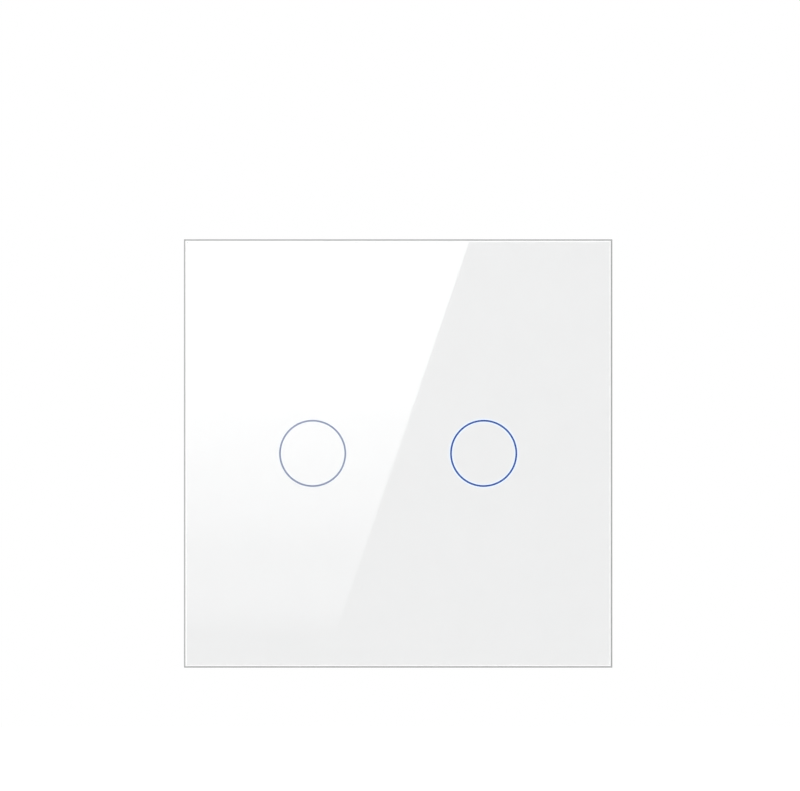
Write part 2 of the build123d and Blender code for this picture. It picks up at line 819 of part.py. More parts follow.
def relay_base(x):
    """Base inside the cover, with cheeks that carry the bobbin over the iron bar."""
    with BuildPart() as base:
        with BuildSketch(front_plane(base_rear, x, relay_z)):
            Rectangle(relay_inner_wide - 2 * relay_fit, relay_inner_long - 2 * relay_fit)
            with Locations((0, post_z - post_thick / 2)):
                Rectangle(post_width, post_thick, mode=Mode.SUBTRACT)
            with Locations((0, yoke_z), (-coil_pin_x, coil_pin_z), (coil_pin_x, coil_pin_z)):
                Circle(lead_radius, mode=Mode.SUBTRACT)
        extrude(amount=base_thick)
        with BuildSketch(front_plane(bar_iron_rear, x, relay_z + coil_z)):
            with GridLocations(bobbin_side - cheek_width, 0, 2, 1):
                Rectangle(cheek_width, bobbin_side)
        extrude(amount=iron_thick)
        with BuildSketch(front_plane(coil_front, x, relay_z + coil_z)):
            Rectangle(bobbin_side, bobbin_side)
        extrude(amount=bobbin_wall)
        with BuildSketch(front_plane(bobbin_rear, x, relay_z + coil_z)):
            Rectangle(bobbin_side, bobbin_side)
        extrude(amount=bobbin_wall)
        with BuildSketch(front_plane(bobbin_rear, x, relay_z + coil_z)):
            Circle(core_radius + bobbin_fit + bobbin_wall)
        extrude(amount=bobbin_rear - bar_iron_rear)
        with BuildSketch(front_plane(bobbin_rear, x, relay_z + coil_z)):
            Circle(core_radius + bobbin_fit)
        extrude(amount=bobbin_rear - bar_iron_rear, mode=Mode.SUBTRACT)
    return base.part


def relay_coil(x):
    """Winding between the bobbin's flanges."""
    with BuildPart() as coil:
        with BuildSketch(front_plane(coil_rear, x, relay_z + coil_z)):
            Circle(coil_radius)
            Circle(core_radius + bobbin_fit + bobbin_wall, mode=Mode.SUBTRACT)
        extrude(amount=coil_high)
    return coil.part


def relay_yoke(x):
    """Core with its pole, the bar under the bobbin, and the leg that the armature rocks on."""
    bar_bottom = yoke_z - iron_thick / 2
    bar_long = coil_z + core_radius + bobbin_wall - bar_bottom
    with BuildPart() as yoke:
        with BuildSketch(front_plane(bar_iron_rear, x, relay_z + bar_bottom)):
            Rectangle(iron_width, bar_long, align=(Align.CENTER, Align.MIN))
        extrude(amount=iron_thick)
        with BuildSketch(front_plane(armature_front - hinge_clearance, x, relay_z + yoke_z)):
            Rectangle(iron_width, iron_thick)
        extrude(amount=armature_front - hinge_clearance - base_rear)
        with BuildSketch(front_plane(pole_face, x, relay_z + coil_z)):
            Circle(core_radius)
        extrude(amount=pole_face - base_rear)
        with BuildSketch(front_plane(pole_face, x, relay_z + coil_z)):
            Circle(pole_radius)
        extrude(amount=pole_thick)
    return yoke.part


def relay_armature(x):
    """Iron plate over the pole, with the spring leaf that carries the moving contact."""
    plate_top = coil_z + core_radius + armature_nose
    with BuildPart() as armature:
        with BuildSketch(front_plane(armature_rear, x, relay_z + leaf_z)):
            Rectangle(iron_width, plate_top - leaf_z, align=(Align.CENTER, Align.MIN))
        extrude(amount=iron_thick)
        with BuildSketch(front_plane(armature_rear + leaf_thick, x, relay_z + leaf_z - leaf_thick)):
            Rectangle(leaf_width, leaf_lap, align=(Align.CENTER, Align.MIN))
        extrude(amount=leaf_thick)
        with BuildSketch(front_plane(armature_rear, x, relay_z + leaf_z)):
            Rectangle(leaf_width, leaf_thick, align=(Align.CENTER, Align.MAX))
        extrude(amount=armature_rear - contact_y + contact_radius + contact_margin)
        with BuildSketch(Plane.XY.offset(relay_z + button_z)):
            with Locations((x, contact_y)):
                Circle(contact_radius)
        extrude(amount=contact_thick)
    return armature.part


def relay_contacts(x):
    """Fixed contact on its post, the pin of the yoke and the two pins of the coil."""
    post_rear = contact_y + contact_radius + contact_margin
    with BuildPart() as contacts:
        with BuildSketch(front_plane(post_rear, x, relay_z + post_z)):
            Rectangle(post_width, post_thick, align=(Align.CENTER, Align.MAX))
        extrude(amount=post_rear - power_board_rear)
        with BuildSketch(front_plane(power_board_rear, x, relay_z + post_z)):
            Rectangle(post_pin_width, post_thick, align=(Align.CENTER, Align.MAX))
        extrude(amount=power_board_rear - tail_front)
        with BuildSketch(Plane.XY.offset(relay_z + post_z)):
            with Locations((x, contact_y)):
                Circle(contact_radius)
        extrude(amount=contact_thick)
        with BuildSketch(front_plane(base_rear, x, relay_z + yoke_z)):
            Circle(lead_radius)
        extrude(amount=base_rear - tail_front)
        with BuildSketch(front_plane(base_rear + coil_pin_high, x, relay_z + coil_pin_z)):
            with GridLocations(2 * coil_pin_x, 0, 2, 1):
                Circle(lead_radius)
        extrude(amount=base_rear + coil_pin_high - tail_front)
    return contacts.part


for side_name, side in sides.items():
    keep(relay_case(side * relay_x), f"relay_case_{side_name}")
    keep(relay_base(side * relay_x), f"relay_base_{side_name}")
    keep(relay_coil(side * relay_x), f"relay_coil_{side_name}")
    keep(relay_yoke(side * relay_x), f"relay_yoke_{side_name}")
    keep(relay_armature(side * relay_x), f"relay_armature_{side_name}")
    keep(relay_contacts(side * relay_x), f"relay_contacts_{side_name}")

# Transformer: iron core with two windows, plastic former with pin rails, winding and pins

with BuildPart() as transformer_core:
    with BuildSketch(Plane.XY.offset(transformer_z - core_deep / 2)):
        with Locations((0, (core_front + core_rear) / 2)):
            Rectangle(core_width, core_high)
            with GridLocations(core_middle + core_window, 0, 2, 1):
                Rectangle(core_window, core_high - 2 * core_leg, mode=Mode.SUBTRACT)
    extrude(amount=core_deep)
keep(transformer_core.part, "transformer_core")

transformer_pin_grid = (transformer_pin_pitch, 2 * rail_z, transformer_pin_count, 2)

with BuildPart() as transformer_bobbin:
    with BuildSketch(front_plane(former_rear, z=transformer_z)):
        Rectangle(tube_width, tube_deep)
    extrude(amount=former_rear - former_front)
    for flange_rear in (former_rear, former_front + former_flange):
        with BuildSketch(front_plane(flange_rear, z=transformer_z)):
            Rectangle(former_width, former_deep)
        extrude(amount=former_flange)
    with BuildSketch(front_plane(former_front + former_flange, z=transformer_z)):
        with GridLocations(0, 2 * rail_z, 1, 2):
            Rectangle(rail_width, rail_deep)
    extrude(amount=former_front + former_flange - power_board_rear)
    with BuildSketch(front_plane(former_rear, z=transformer_z)):
        Rectangle(core_middle + 2 * former_fit, core_deep + 2 * former_fit)
    extrude(amount=former_rear - former_front, mode=Mode.SUBTRACT)
    with BuildSketch(front_plane(power_board_rear + transformer_pin_in, z=transformer_z)):
        with GridLocations(*transformer_pin_grid):
            Circle(lead_radius)
    extrude(amount=transformer_pin_in, mode=Mode.SUBTRACT)
keep(transformer_bobbin.part, "transformer_bobbin")

with BuildPart() as transformer_winding:
    with BuildSketch(front_plane(former_rear - former_flange, z=transformer_z)):
        RectangleRounded(former_width - 2 * winding_margin, former_deep - 4 * winding_margin, winding_margin)
        Rectangle(tube_width, tube_deep, mode=Mode.SUBTRACT)
    extrude(amount=former_rear - former_front - 2 * former_flange)
keep(transformer_winding.part, "transformer_winding")

with BuildPart() as transformer_pin_set:
    with BuildSketch(front_plane(power_board_rear + transformer_pin_in, z=transformer_z)):
        with GridLocations(*transformer_pin_grid):
            Circle(lead_radius)
    extrude(amount=power_board_rear + transformer_pin_in - tail_front)
keep(transformer_pin_set.part, "transformer_pins")

# Parts with wire leads on the rear of the power board

body_front = power_board_rear + lead_stand


def wire_leads(x, z, pitch):
    """Two round leads that run from the front of a part through the board."""
    with BuildPart() as pair:
        with BuildSketch(front_plane(body_front, x, z)):
            with GridLocations(pitch, 0, 2, 1):
                Circle(lead_radius)
        extrude(amount=body_front - tail_front)
    return pair.part


with BuildPart() as filter_capacitors:
    with BuildSketch(rear_plane(body_front, z=capacitor_z)):
        with GridLocations(capacitor_spacing, 0, 2, 1):
            Circle(capacitor_radius)
    extrude(amount=capacitor_high)
    fillet(filter_capacitors.edges().group_by(Axis.Y)[-1], capacitor_groove)
    with BuildSketch(rear_plane(body_front + capacitor_groove_at, z=capacitor_z)):
        with GridLocations(capacitor_spacing, 0, 2, 1):
            Circle(capacitor_radius)
            Circle(capacitor_radius - capacitor_groove, mode=Mode.SUBTRACT)
    extrude(amount=2 * capacitor_groove, mode=Mode.SUBTRACT)
    for side in sides.values():
        add(wire_leads(side * capacitor_spacing / 2, capacitor_z, capacitor_lead_pitch))
keep(filter_capacitors.part, "filter_capacitors")

with BuildPart() as safety_capacitor:
    with BuildSketch(rear_plane(body_front, film_x, film_z)):
        Rectangle(film_long, film_thick)
    extrude(amount=film_high)
    fillet(safety_capacitor.edges().filter_by(Axis.Y), film_corner)
    fillet(safety_capacitor.edges().group_by(Axis.Y)[-1], film_top_corner)
    add(wire_leads(film_x, film_z, film_lead_pitch))
keep(safety_capacitor.part, "safety_capacitor")

with BuildPart() as varistor:
    with BuildSketch(Plane.XY.offset(varistor_z - varistor_thick / 2)):
        with Locations((varistor_x, body_front + varistor_radius)):
            Circle(varistor_radius)
    extrude(amount=varistor_thick)
    fillet(varistor.edges().filter_by(GeomType.CIRCLE), varistor_corner)
    with BuildSketch(front_plane(body_front + varistor_radius, varistor_x, varistor_z)):
        with GridLocations(varistor_lead_pitch, 0, 2, 1):
            Circle(lead_radius)
    extrude(amount=body_front + varistor_radius - tail_front)
keep(varistor.part, "varistor")

with BuildPart() as fuse:
    with BuildSketch(rear_plane(body_front, fuse_x, fuse_z)):
        Circle(fuse_radius)
    extrude(amount=fuse_high)
    chamfer(fuse.edges().group_by(Axis.Y)[-1], fuse_chamfer)
    add(wire_leads(fuse_x, fuse_z, fuse_lead_pitch))
keep(fuse.part, "fuse")

# Flat parts on the front of the power board

power_board_face = front_plane(power_board_front)
keep(leaded_chip(power_board_face, [(bridge_x, bridge_z)], bridge_long, bridge_wide, bridge_high,
                 bridge_lead_pitch, 2), "bridge_rectifier")
keep(leaded_chip(power_board_face, [(0, supply_chip_z)], supply_chip_long, supply_chip_wide,
                 supply_chip_high, supply_chip_pitch, supply_chip_lead_count), "supply_chip")
keep(leaded_chip(power_board_face, [(driver_x, 0), (driver_x, driver_pitch)], driver_long, driver_wide,
                 driver_high, driver_lead_pitch, 2), "driver_transistors")
keep(small_chips(power_board_face, 0, passives_z, power_passive_columns, power_passive_rows),
     "power_board_chips")

# Power board with a hole for every tail that passes through it

tail_diagonal = (bar_leg_width ** 2 + bar_thick ** 2) ** 0.5
post_diagonal = (post_pin_width ** 2 + post_thick ** 2) ** 0.5
wire_lead_places = [
    (side * capacitor_spacing / 2 + end * capacitor_lead_pitch / 2, capacitor_z)
    for side in sides.values() for end in (-1, 1)
]
for end in (-1, 1):
    wire_lead_places.append((film_x + end * film_lead_pitch / 2, film_z))
    wire_lead_places.append((varistor_x + end * varistor_lead_pitch / 2, varistor_z))
    wire_lead_places.append((fuse_x + end * fuse_lead_pitch / 2, fuse_z))
for side in sides.values():
    wire_lead_places.append((side * relay_x, relay_z + yoke_z))
    wire_lead_places.append((side * relay_x - coil_pin_x, relay_z + coil_pin_z))
    wire_lead_places.append((side * relay_x + coil_pin_x, relay_z + coil_pin_z))

with BuildPart() as power_board:
    with BuildSketch(front_plane(power_board_rear)):
        Rectangle(power_board_side, power_board_side)
        with GridLocations(power_board_side, power_board_side, 2, 2):
            Rectangle(2 * board_notch, 2 * board_notch, mode=Mode.SUBTRACT)
        with Locations(*wire_lead_places):
            Circle(lead_hole, mode=Mode.SUBTRACT)
        with Locations((0, transformer_z)):
            with GridLocations(*transformer_pin_grid):
                Circle(lead_hole, mode=Mode.SUBTRACT)
        with Locations((0, plug_z)):
            with GridLocations(pin_pitch, pin_pitch, pin_columns, pin_rows):
                Circle(contact_tail * 2 ** 0.5 / 2 + hole_clearance, mode=Mode.SUBTRACT)
        with Locations((0, leg_z)):
            with GridLocations(terminal_pitch, 0, terminals, 1):
                Circle(tail_diagonal / 2 + hole_clearance, mode=Mode.SUBTRACT)
        with Locations((0, relay_z + post_z - post_thick / 2)):
            with GridLocations(2 * relay_x, 0, 2, 1):
                Circle(post_diagonal / 2 + hole_clearance, mode=Mode.SUBTRACT)
    extrude(amount=power_board_thick)
keep(power_board.part, "power_board")

# Terminal block: one housing with a well for each clamp, and the bars between clamp and board

with BuildPart() as terminal_housing:
    with BuildSketch(front_plane(terminal_rear, z=(terminal_bottom + terminal_top) / 2)):
        Rectangle(terminal_width, terminal_deep)
    extrude(amount=terminal_rear - power_board_rear)
    with BuildSketch(front_plane(roof_front, z=(well_bottom + well_top) / 2)):
        with GridLocations(terminal_pitch, 0, terminals, 1):
            Rectangle(well_width, well_top - well_bottom)
    extrude(amount=roof_front - well_floor, mode=Mode.SUBTRACT)
    with BuildSketch(front_plane(terminal_rear, z=screw_z)):
        with GridLocations(terminal_pitch, 0, terminals, 1):
            Circle(clamp_head_radius - roof_lip)
    extrude(amount=terminal_roof, mode=Mode.SUBTRACT)
    with BuildSketch(Plane.XY.offset(terminal_bottom)):
        with Locations((0, wire_y)):
            with GridLocations(terminal_pitch, 0, terminals, 1):
                Rectangle(wire_entry_width, wire_entry_high)
    extrude(amount=terminal_wall, mode=Mode.SUBTRACT)
    with BuildSketch(front_plane(well_floor, z=leg_z)):
        with GridLocations(terminal_pitch, 0, terminals, 1):
            Rectangle(bar_leg_width + 2 * hole_clearance, bar_thick + 2 * hole_clearance)
    extrude(amount=terminal_floor, mode=Mode.SUBTRACT)
keep(terminal_housing.part, "terminal_housing")

with BuildPart() as terminal_contacts:
    with BuildSketch(front_plane(bar_rear, z=bar_top)):
        with GridLocations(terminal_pitch, 0, terminals, 1):
            Rectangle(bar_width, bar_top - cage_bottom, align=(Align.CENTER, Align.MAX))
    extrude(amount=bar_thick)
    with BuildSketch(front_plane(bar_rear, z=leg_z)):
        with GridLocations(terminal_pitch, 0, terminals, 1):
            Rectangle(bar_leg_width, bar_thick)
    extrude(amount=bar_rear - tail_front)
keep(terminal_contacts.part, "terminal_contacts")


def terminal_cage(x):
    """Clamp that goes round the bar, open to the wire, with a threaded hole in its rear wall."""
    with BuildPart() as cage:
        with BuildSketch(front_plane(cage_rear, x, screw_z)):
            Rectangle(cage_width, cage_long)
        extrude(amount=cage_rear - cage_front)
        with BuildSketch(front_plane(cage_top_front, x, screw_z)):
            Rectangle(cage_width - 2 * cage_wall, cage_long)
        extrude(amount=cage_top_front - cage_front - cage_wall, mode=Mode.SUBTRACT)
        with BuildSketch(front_plane(cage_rear, x, screw_z)):
            Circle(clamp_screw_radius + clamp_thread_clearance)
        extrude(amount=cage_top, mode=Mode.SUBTRACT)
    return cage.part


def terminal_screw(x):
    """Captive clamp screw: its tip bears on the bar and its slotted head lies under the roof."""
    with BuildPart() as screw:
        with BuildSketch(rear_plane(head_front, x, screw_z)):
            Circle(clamp_head_radius)
        extrude(amount=clamp_head_high)
        chamfer(screw.edges().group_by(Axis.Y)[-1], clamp_head_chamfer)
        with BuildSketch(rear_plane(bar_rear + clamp_tip_gap, x, screw_z)):
            Circle(clamp_screw_radius)
        extrude(amount=head_front - bar_rear - clamp_tip_gap)
        with BuildSketch(rear_plane(head_rear, x, screw_z)):
            Rectangle(2 * clamp_head_radius, clamp_slot_wide)
        extrude(amount=-clamp_slot_deep, mode=Mode.SUBTRACT)
    return screw.part


for number, terminal_x in enumerate(terminal_xs, start=1):
    keep(terminal_cage(terminal_x), f"terminal_cage_{number}")
    keep(terminal_screw(terminal_x), f"terminal_screw_{number}")

os.makedirs("parts", exist_ok=True)
for piece in pieces:
    export_step(piece, f"parts/{piece.label}.step")
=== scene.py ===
# %% [markdown]
# # A glass touch switch, dressed in Blender
#
# The object is a two-gang touch switch for a wall box. In front is a square of glass, printed white
# on its back, with two hair-thin rings that light up. Behind it come a moulded frame, a touch
# board, a mounting plate, and a box with relays, a small transformer and four wire clamps.
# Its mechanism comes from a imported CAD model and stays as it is. This script gives each piece the
# finish of the real one, makes the glass anew with its ground edge, adds what is too small for the
# CAD, and sets up a plain studio with the camera of the photograph.
# Everything is in metres: X to the right, Z up, and Y into the wall.

import math

import bmesh
import bpy
from mathutils import Matrix, Vector


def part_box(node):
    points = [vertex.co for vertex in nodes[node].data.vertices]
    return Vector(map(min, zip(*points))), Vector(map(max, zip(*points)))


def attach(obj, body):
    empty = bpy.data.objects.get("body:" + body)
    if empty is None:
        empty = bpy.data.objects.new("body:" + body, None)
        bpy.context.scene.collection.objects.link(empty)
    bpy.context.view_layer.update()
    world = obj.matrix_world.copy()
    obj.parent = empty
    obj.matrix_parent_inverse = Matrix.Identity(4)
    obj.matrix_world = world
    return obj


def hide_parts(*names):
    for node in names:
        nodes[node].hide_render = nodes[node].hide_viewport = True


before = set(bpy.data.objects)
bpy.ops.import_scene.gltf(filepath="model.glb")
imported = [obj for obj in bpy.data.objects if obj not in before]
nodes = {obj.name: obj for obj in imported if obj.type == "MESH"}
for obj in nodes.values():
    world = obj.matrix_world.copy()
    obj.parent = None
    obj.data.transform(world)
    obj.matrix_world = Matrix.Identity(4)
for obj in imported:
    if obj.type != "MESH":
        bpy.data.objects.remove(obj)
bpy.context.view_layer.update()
MM = 0.001

# %% [markdown]
# ## Small helpers for materials
#
# A material is a tree of nodes. One function adds a node, sets it and links it, so that each
# finish below reads as a short recipe. Colours are written as the hex codes that a paint program
# shows. Blender's sockets take linear light instead, so a second function converts them. Two more
# start a material and link its shader, and a third ends it with a plain surface. The last tells
# rays apart, because some things in a studio have to look different to the camera than to the
# light that bounces about.


# %% Add a node, convert a colour, start and end a material, tell rays apart
def add_node(tree, kind, inputs=None, **settings):
    """Adds one node: settings are its own options, inputs are values or links by name or number."""
    made = tree.nodes.new(kind)
    for name, value in settings.items():
        setattr(made, name, value)
    for name, value in (inputs or {}).items():
        if isinstance(value, bpy.types.NodeSocket):
            tree.links.new(value, made.inputs[name])
        else:
            made.inputs[name].default_value = value
    return made


def linear(code):
    """Linear red, green, blue and alpha of an sRGB hex code."""
    parts = [int(code[i : i + 2], 16) / 255 for i in (0, 2, 4)]
    return [p / 12.92 if p <= 0.04045 else ((p + 0.055) / 1.055) ** 2.4 for p in parts] + [1.0]


def start_finish(name):
    """A new empty material, its tree, and its Object coordinates, which are metres on the piece."""
    made = bpy.data.materials.new(name)
    made.use_nodes = True
    made.node_tree.nodes.clear()
    place = add_node(made.node_tree, "ShaderNodeTexCoord").outputs["Object"]
    return made, made.node_tree, place


def end_finish(tree, shader):
    """Links a shader's output to the material's surface."""
    add_node(tree, "ShaderNodeOutputMaterial", {"Surface": shader.outputs[0]})


def end_surface(tree, inputs):
    """Ends a finish with one surface shader that has these inputs."""
    end_finish(tree, add_node(tree, "ShaderNodeBsdfPrincipled", inputs))


def ray_is(tree, *kinds):
    """1 for a ray of any of these kinds, and 0 for every other."""
    path = add_node(tree, "ShaderNodeLightPath")
    found = path.outputs[f"Is {kinds[0]} Ray"]
    for kind in kinds[1:]:
        either = {0: found, 1: path.outputs[f"Is {kind} Ray"]}
        found = add_node(tree, "ShaderNodeMath", either, operation="MAXIMUM").outputs[0]
    return found


print("mid grey 808080 is", round(linear("808080")[0], 3), "in linear light")

# %% [markdown]
# ## The camera
#
# The photograph looks straight at the glass from its own height, a little above and to the right
# of the centre of the glass, so that the switch sits low in the frame. A long lens keeps the sides
# of the square parallel. The glass is 86 mm wide and takes 428.5 of the 800 pixels, which fixes
# the distance.

# %% Place the camera
PICTURE_WIDTH = 800
GLASS_PIXELS = 428.5
PER_PIXEL = 86.0 * MM / GLASS_PIXELS
LENS = 200.0
SENSOR = 36.0
VIEW_RIGHT, VIEW_UP = 1.85, 58.0
glass_low, glass_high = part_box("glass_panel")
face_y = glass_low.y
distance = PER_PIXEL * PICTURE_WIDTH * LENS / SENSOR

camera_data = bpy.data.cameras.new("camera")
camera_data.lens = LENS
camera_data.sensor_width = SENSOR
camera_data.clip_start = 0.01
camera = bpy.data.objects.new("camera", camera_data)
camera.location = (VIEW_RIGHT * PER_PIXEL, face_y - distance, VIEW_UP * PER_PIXEL)
camera.rotation_euler = (math.radians(90), 0, 0)
bpy.context.scene.collection.objects.link(camera)
bpy.context.scene.camera = camera
print("camera distance in mm:", round(distance / MM, 1))

# %% [markdown]
# ## The studio
#
# A product photograph like this one is lit by large soft boxes in a white room. The room is the
# world: white for the camera and for reflections, and dimmer for everything else, so that the
# lamps still shape the object. Three area lamps light it: one from the upper left, one from the
# right, and one from behind for its back. The floor is a plain pale sheet well below the switch,
# which hangs as it would on its wall. The lamps reach only the middle of the sheet, so it glows a
# little more for the camera further out, where its rim then can't be told from the white room.
# Seen from below it is clear, so that the underside of the switch can be looked at.

# %% Make the white room
bpy.context.scene.view_settings.view_transform = "Standard"
world = bpy.data.worlds.new("white_room")
bpy.context.scene.world = world
world.use_nodes = True
world.node_tree.nodes.clear()
ROOM_LIGHT = 0.42
tree = world.node_tree
seen = ray_is(tree, "Camera", "Glossy", "Transmission")
level = add_node(tree, "ShaderNodeMapRange", {"Value": seen, "To Min": ROOM_LIGHT, "To Max": 1.0})
room = add_node(tree, "ShaderNodeBackground", {"Color": linear("FFFFFF"), "Strength": level.outputs[0]})
add_node(tree, "ShaderNodeOutputWorld", {"Surface": room.outputs[0]})
print("light of the room on the object:", ROOM_LIGHT)

# %% Hang the soft boxes
LAMPS = {
    "key_lamp": ((-1.1, -1.7, 1.2), 1.9, 31.3),
    "fill_lamp": ((1.6, -1.3, 0.6), 1.2, 5.4),
    "rear_lamp": ((0.9, 1.6, 1.2), 1.9, 24.0),
}
for name, (place, size, watts) in LAMPS.items():
    data = bpy.data.lights.new(name, "AREA")
    data.size = size
    data.energy = watts
    lamp = bpy.data.objects.new(name, data)
    lamp.location = place
    lamp.rotation_euler = (-Vector(place)).to_track_quat("-Z", "Y").to_euler()
    lamp.visible_transmission = False
    bpy.context.scene.collection.objects.link(lamp)
print("lamps:", list(LAMPS))

# %% Lay the floor
FLOOR_LEVEL = -0.28
FLOOR_HALF = 3.0
shape = bmesh.new()
lowered = Matrix.Translation((0, 0, FLOOR_LEVEL))
bmesh.ops.create_grid(shape, x_segments=1, y_segments=1, size=FLOOR_HALF, matrix=lowered)
floor_mesh = bpy.data.meshes.new("floor")
shape.to_mesh(floor_mesh)
shape.free()
floor = bpy.data.objects.new("floor", floor_mesh)
bpy.context.scene.collection.objects.link(floor)
print("floor at:", FLOOR_LEVEL, "half side:", FLOOR_HALF)

# %% Paint the floor
# Matt white emulsion: no gloss, so that it shows nothing but the shadow.
GLOW_FROM, GLOW_TO = 0.3, 2.0
GLOW_NEAR, GLOW_FAR = 0.15, 0.7
floor_paint, tree, place = start_finish("matt_white_floor")
out = add_node(tree, "ShaderNodeVectorMath", {0: place}, operation="LENGTH").outputs["Value"]
spread = {"Value": out, "From Min": GLOW_FROM, "From Max": GLOW_TO, "To Min": GLOW_NEAR, "To Max": GLOW_FAR}
glow = add_node(tree, "ShaderNodeMapRange", spread)
seen = ray_is(tree, "Camera", "Glossy")
glow = add_node(tree, "ShaderNodeMath", {0: seen, 1: glow.outputs[0]}, operation="MULTIPLY")
paint = add_node(
    tree,
    "ShaderNodeBsdfPrincipled",
    {
        "Base Color": linear("F2F2F2"),
        "Roughness": 0.9,
        "Specular IOR Level": 0.0,
        "Emission Color": linear("FFFFFF"),
        "Emission Strength": glow.outputs[0],
    },
)
below = add_node(tree, "ShaderNodeNewGeometry").outputs["Backfacing"]
clear = add_node(tree, "ShaderNodeBsdfTransparent", {"Color": linear("FFFFFF")})
end_finish(tree, add_node(tree, "ShaderNodeMixShader", {0: below, 1: paint.outputs[0], 2: clear.outputs[0]}))
floor_mesh.materials.append(floor_paint)
print("glow of the floor, near and far:", GLOW_NEAR, GLOW_FAR)

# %% [markdown]
# ## What the glass reflects
#
# The photograph shows a bright sheet of light over the upper left of the glass, with a straight
# slanting edge, strongest at the top. It is the reflection of a soft box with a slanted side,
# hung behind the camera. A reflection on flat glass only depends on where that box is, so it is
# made as a real card: a grid cut along the slant by one bisecting plane. Only reflections see it.

# %% Hang the slanted soft box behind the camera
CARD_DISTANCE = 3.0
CARD_HALF = 0.9
CARD_RIGHT, CARD_UP = -0.3, 0.35
GLASS_COLUMN, GLASS_ROW = 398.15, 453.5
SLANT_TOP, SLANT_LOW = (469.7, 240), (323.8, 668)
reach = 1 + CARD_DISTANCE / distance


def card_point(column, row):
    """Where a pixel of the photograph, reflected in the glass, meets the card."""
    x = (column - GLASS_COLUMN) * PER_PIXEL
    z = (GLASS_ROW - row) * PER_PIXEL
    return Vector((
        camera.location.x + (x - camera.location.x) * reach,
        face_y - CARD_DISTANCE,
        camera.location.z + (z - camera.location.z) * reach,
    ))


edge_top = card_point(*SLANT_TOP)
edge_low = card_point(*SLANT_LOW)
slant = (edge_top - edge_low).normalized()
card_shape = bmesh.new()
bmesh.ops.create_grid(card_shape, x_segments=1, y_segments=1, size=CARD_HALF)
bmesh.ops.rotate(card_shape, matrix=Matrix.Rotation(math.radians(90), 3, "X"), verts=card_shape.verts)
bmesh.ops.translate(card_shape, vec=(CARD_RIGHT, face_y - CARD_DISTANCE, CARD_UP), verts=card_shape.verts)
bmesh.ops.bisect_plane(
    card_shape,
    geom=card_shape.verts[:] + card_shape.edges[:] + card_shape.faces[:],
    plane_co=edge_top,
    plane_no=Vector((slant.z, 0, -slant.x)),
    clear_outer=True,
)
card_mesh = bpy.data.meshes.new("slanted_soft_box")
card_shape.to_mesh(card_mesh)
card_shape.free()
card = bpy.data.objects.new("slanted_soft_box", card_mesh)
bpy.context.scene.collection.objects.link(card)
for ray in ("visible_camera", "visible_diffuse", "visible_transmission", "visible_shadow"):
    setattr(card, ray, False)
print("card corners:", len(card_mesh.vertices))

# %% Fade the card towards its foot
# The cloth of the soft box glows evenly across and fades down. The fade was measured on the
# photograph at nine heights: the row, and the share of the full light there.
FADE = [
    (400, 1.0),
    (418, 0.86),
    (455, 0.75),
    (485, 0.63),
    (520, 0.49),
    (550, 0.31),
    (590, 0.28),
    (612, 0.19),
    (635, 0.0),
]
FULL = 0.145
GLASS_SHINE = 0.04
card_light, tree, place = start_finish("soft_box_cloth")
upright = add_node(tree, "ShaderNodeSeparateXYZ", {0: place}).outputs["Z"]
card_foot = card_point(0, FADE[-1][0]).z
card_head = card_point(0, FADE[0][0]).z
span = {"Value": upright, "From Min": card_foot, "From Max": card_head}
height = add_node(tree, "ShaderNodeMapRange", span)
ramp = add_node(tree, "ShaderNodeValToRGB", {"Fac": height.outputs[0]})
stops = ramp.color_ramp.elements
for row, share in FADE[1:-1]:
    stop = stops.new((card_point(0, row).z - card_foot) / (card_head - card_foot))
    stop.color = (share, share, share, 1)
stops[0].color = (0, 0, 0, 1)
stops[-1].color = (1, 1, 1, 1)
# The card hides the white room, so it gives the room's light of 1 and its own on top.
light = {0: ramp.outputs[0], 1: FULL / GLASS_SHINE, 2: 1.0}
strength = add_node(tree, "ShaderNodeMath", light, operation="MULTIPLY_ADD")
end_finish(tree, add_node(tree, "ShaderNodeEmission", {"Strength": strength.outputs[0]}))
card_mesh.materials.append(card_light)
print("stops of the fade:", len(stops))

# %% [markdown]
# ## Building new pieces
#
# New pieces are made in bmesh, Blender's mesh editor as a library. A short function turns a
# finished bmesh into an object, gives it its materials, and lets it ride on a body of the CAD
# model.


# %% Turn a bmesh into a piece
def make_piece(shape, name, body, slot, *finishes):
    """Writes the bmesh to a new object that rides on a body, and frees it."""
    mesh = bpy.data.meshes.new(name)
    shape.to_mesh(mesh)
    shape.free()
    for finish in finishes:
        mesh.materials.append(finish)
    piece = bpy.data.objects.new(name, mesh)
    bpy.context.scene.collection.objects.link(piece)
    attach(piece, body)
    print(name, "faces:", len(mesh.polygons))
    return piece


print("pieces to dress or to make anew:", len(nodes))

# %% [markdown]
# ## The glass
#
# The panel is 3 mm float glass. Its rim is seamed: a narrow arris ground at 45 degrees with a
# stone, which looks grey because its rough face sends little light back, and inside it a narrow
# satin bevel that catches a bright line. Both lines run round the whole square in the
# photograph. A cube is scaled to the sheet, then a bevel cuts the arris and an inset the shallow
# bevel. The back face touches the print, so light passes there without bending: its index is 1.
# Seen from the side, iron in the glass gives the cut edge its green tinge.

# %% Build the sheet
PRINT_ROOM = 0.02 * MM
SAME_LEVEL = 0.01 * MM
ARRIS = 0.3 * MM
REAR_ARRIS = 0.2 * MM
BEVEL = 0.38 * MM
BEVEL_DROP = 0.07 * MM
sheet_low = glass_low.copy()
sheet_high = glass_high.copy()
sheet_high.y -= PRINT_ROOM
sheet_size = Matrix.Diagonal([*(sheet_high - sheet_low), 1.0])
sheet = bmesh.new()
bmesh.ops.create_cube(sheet, size=1.0, matrix=Matrix.Translation((sheet_low + sheet_high) / 2) @ sheet_size)


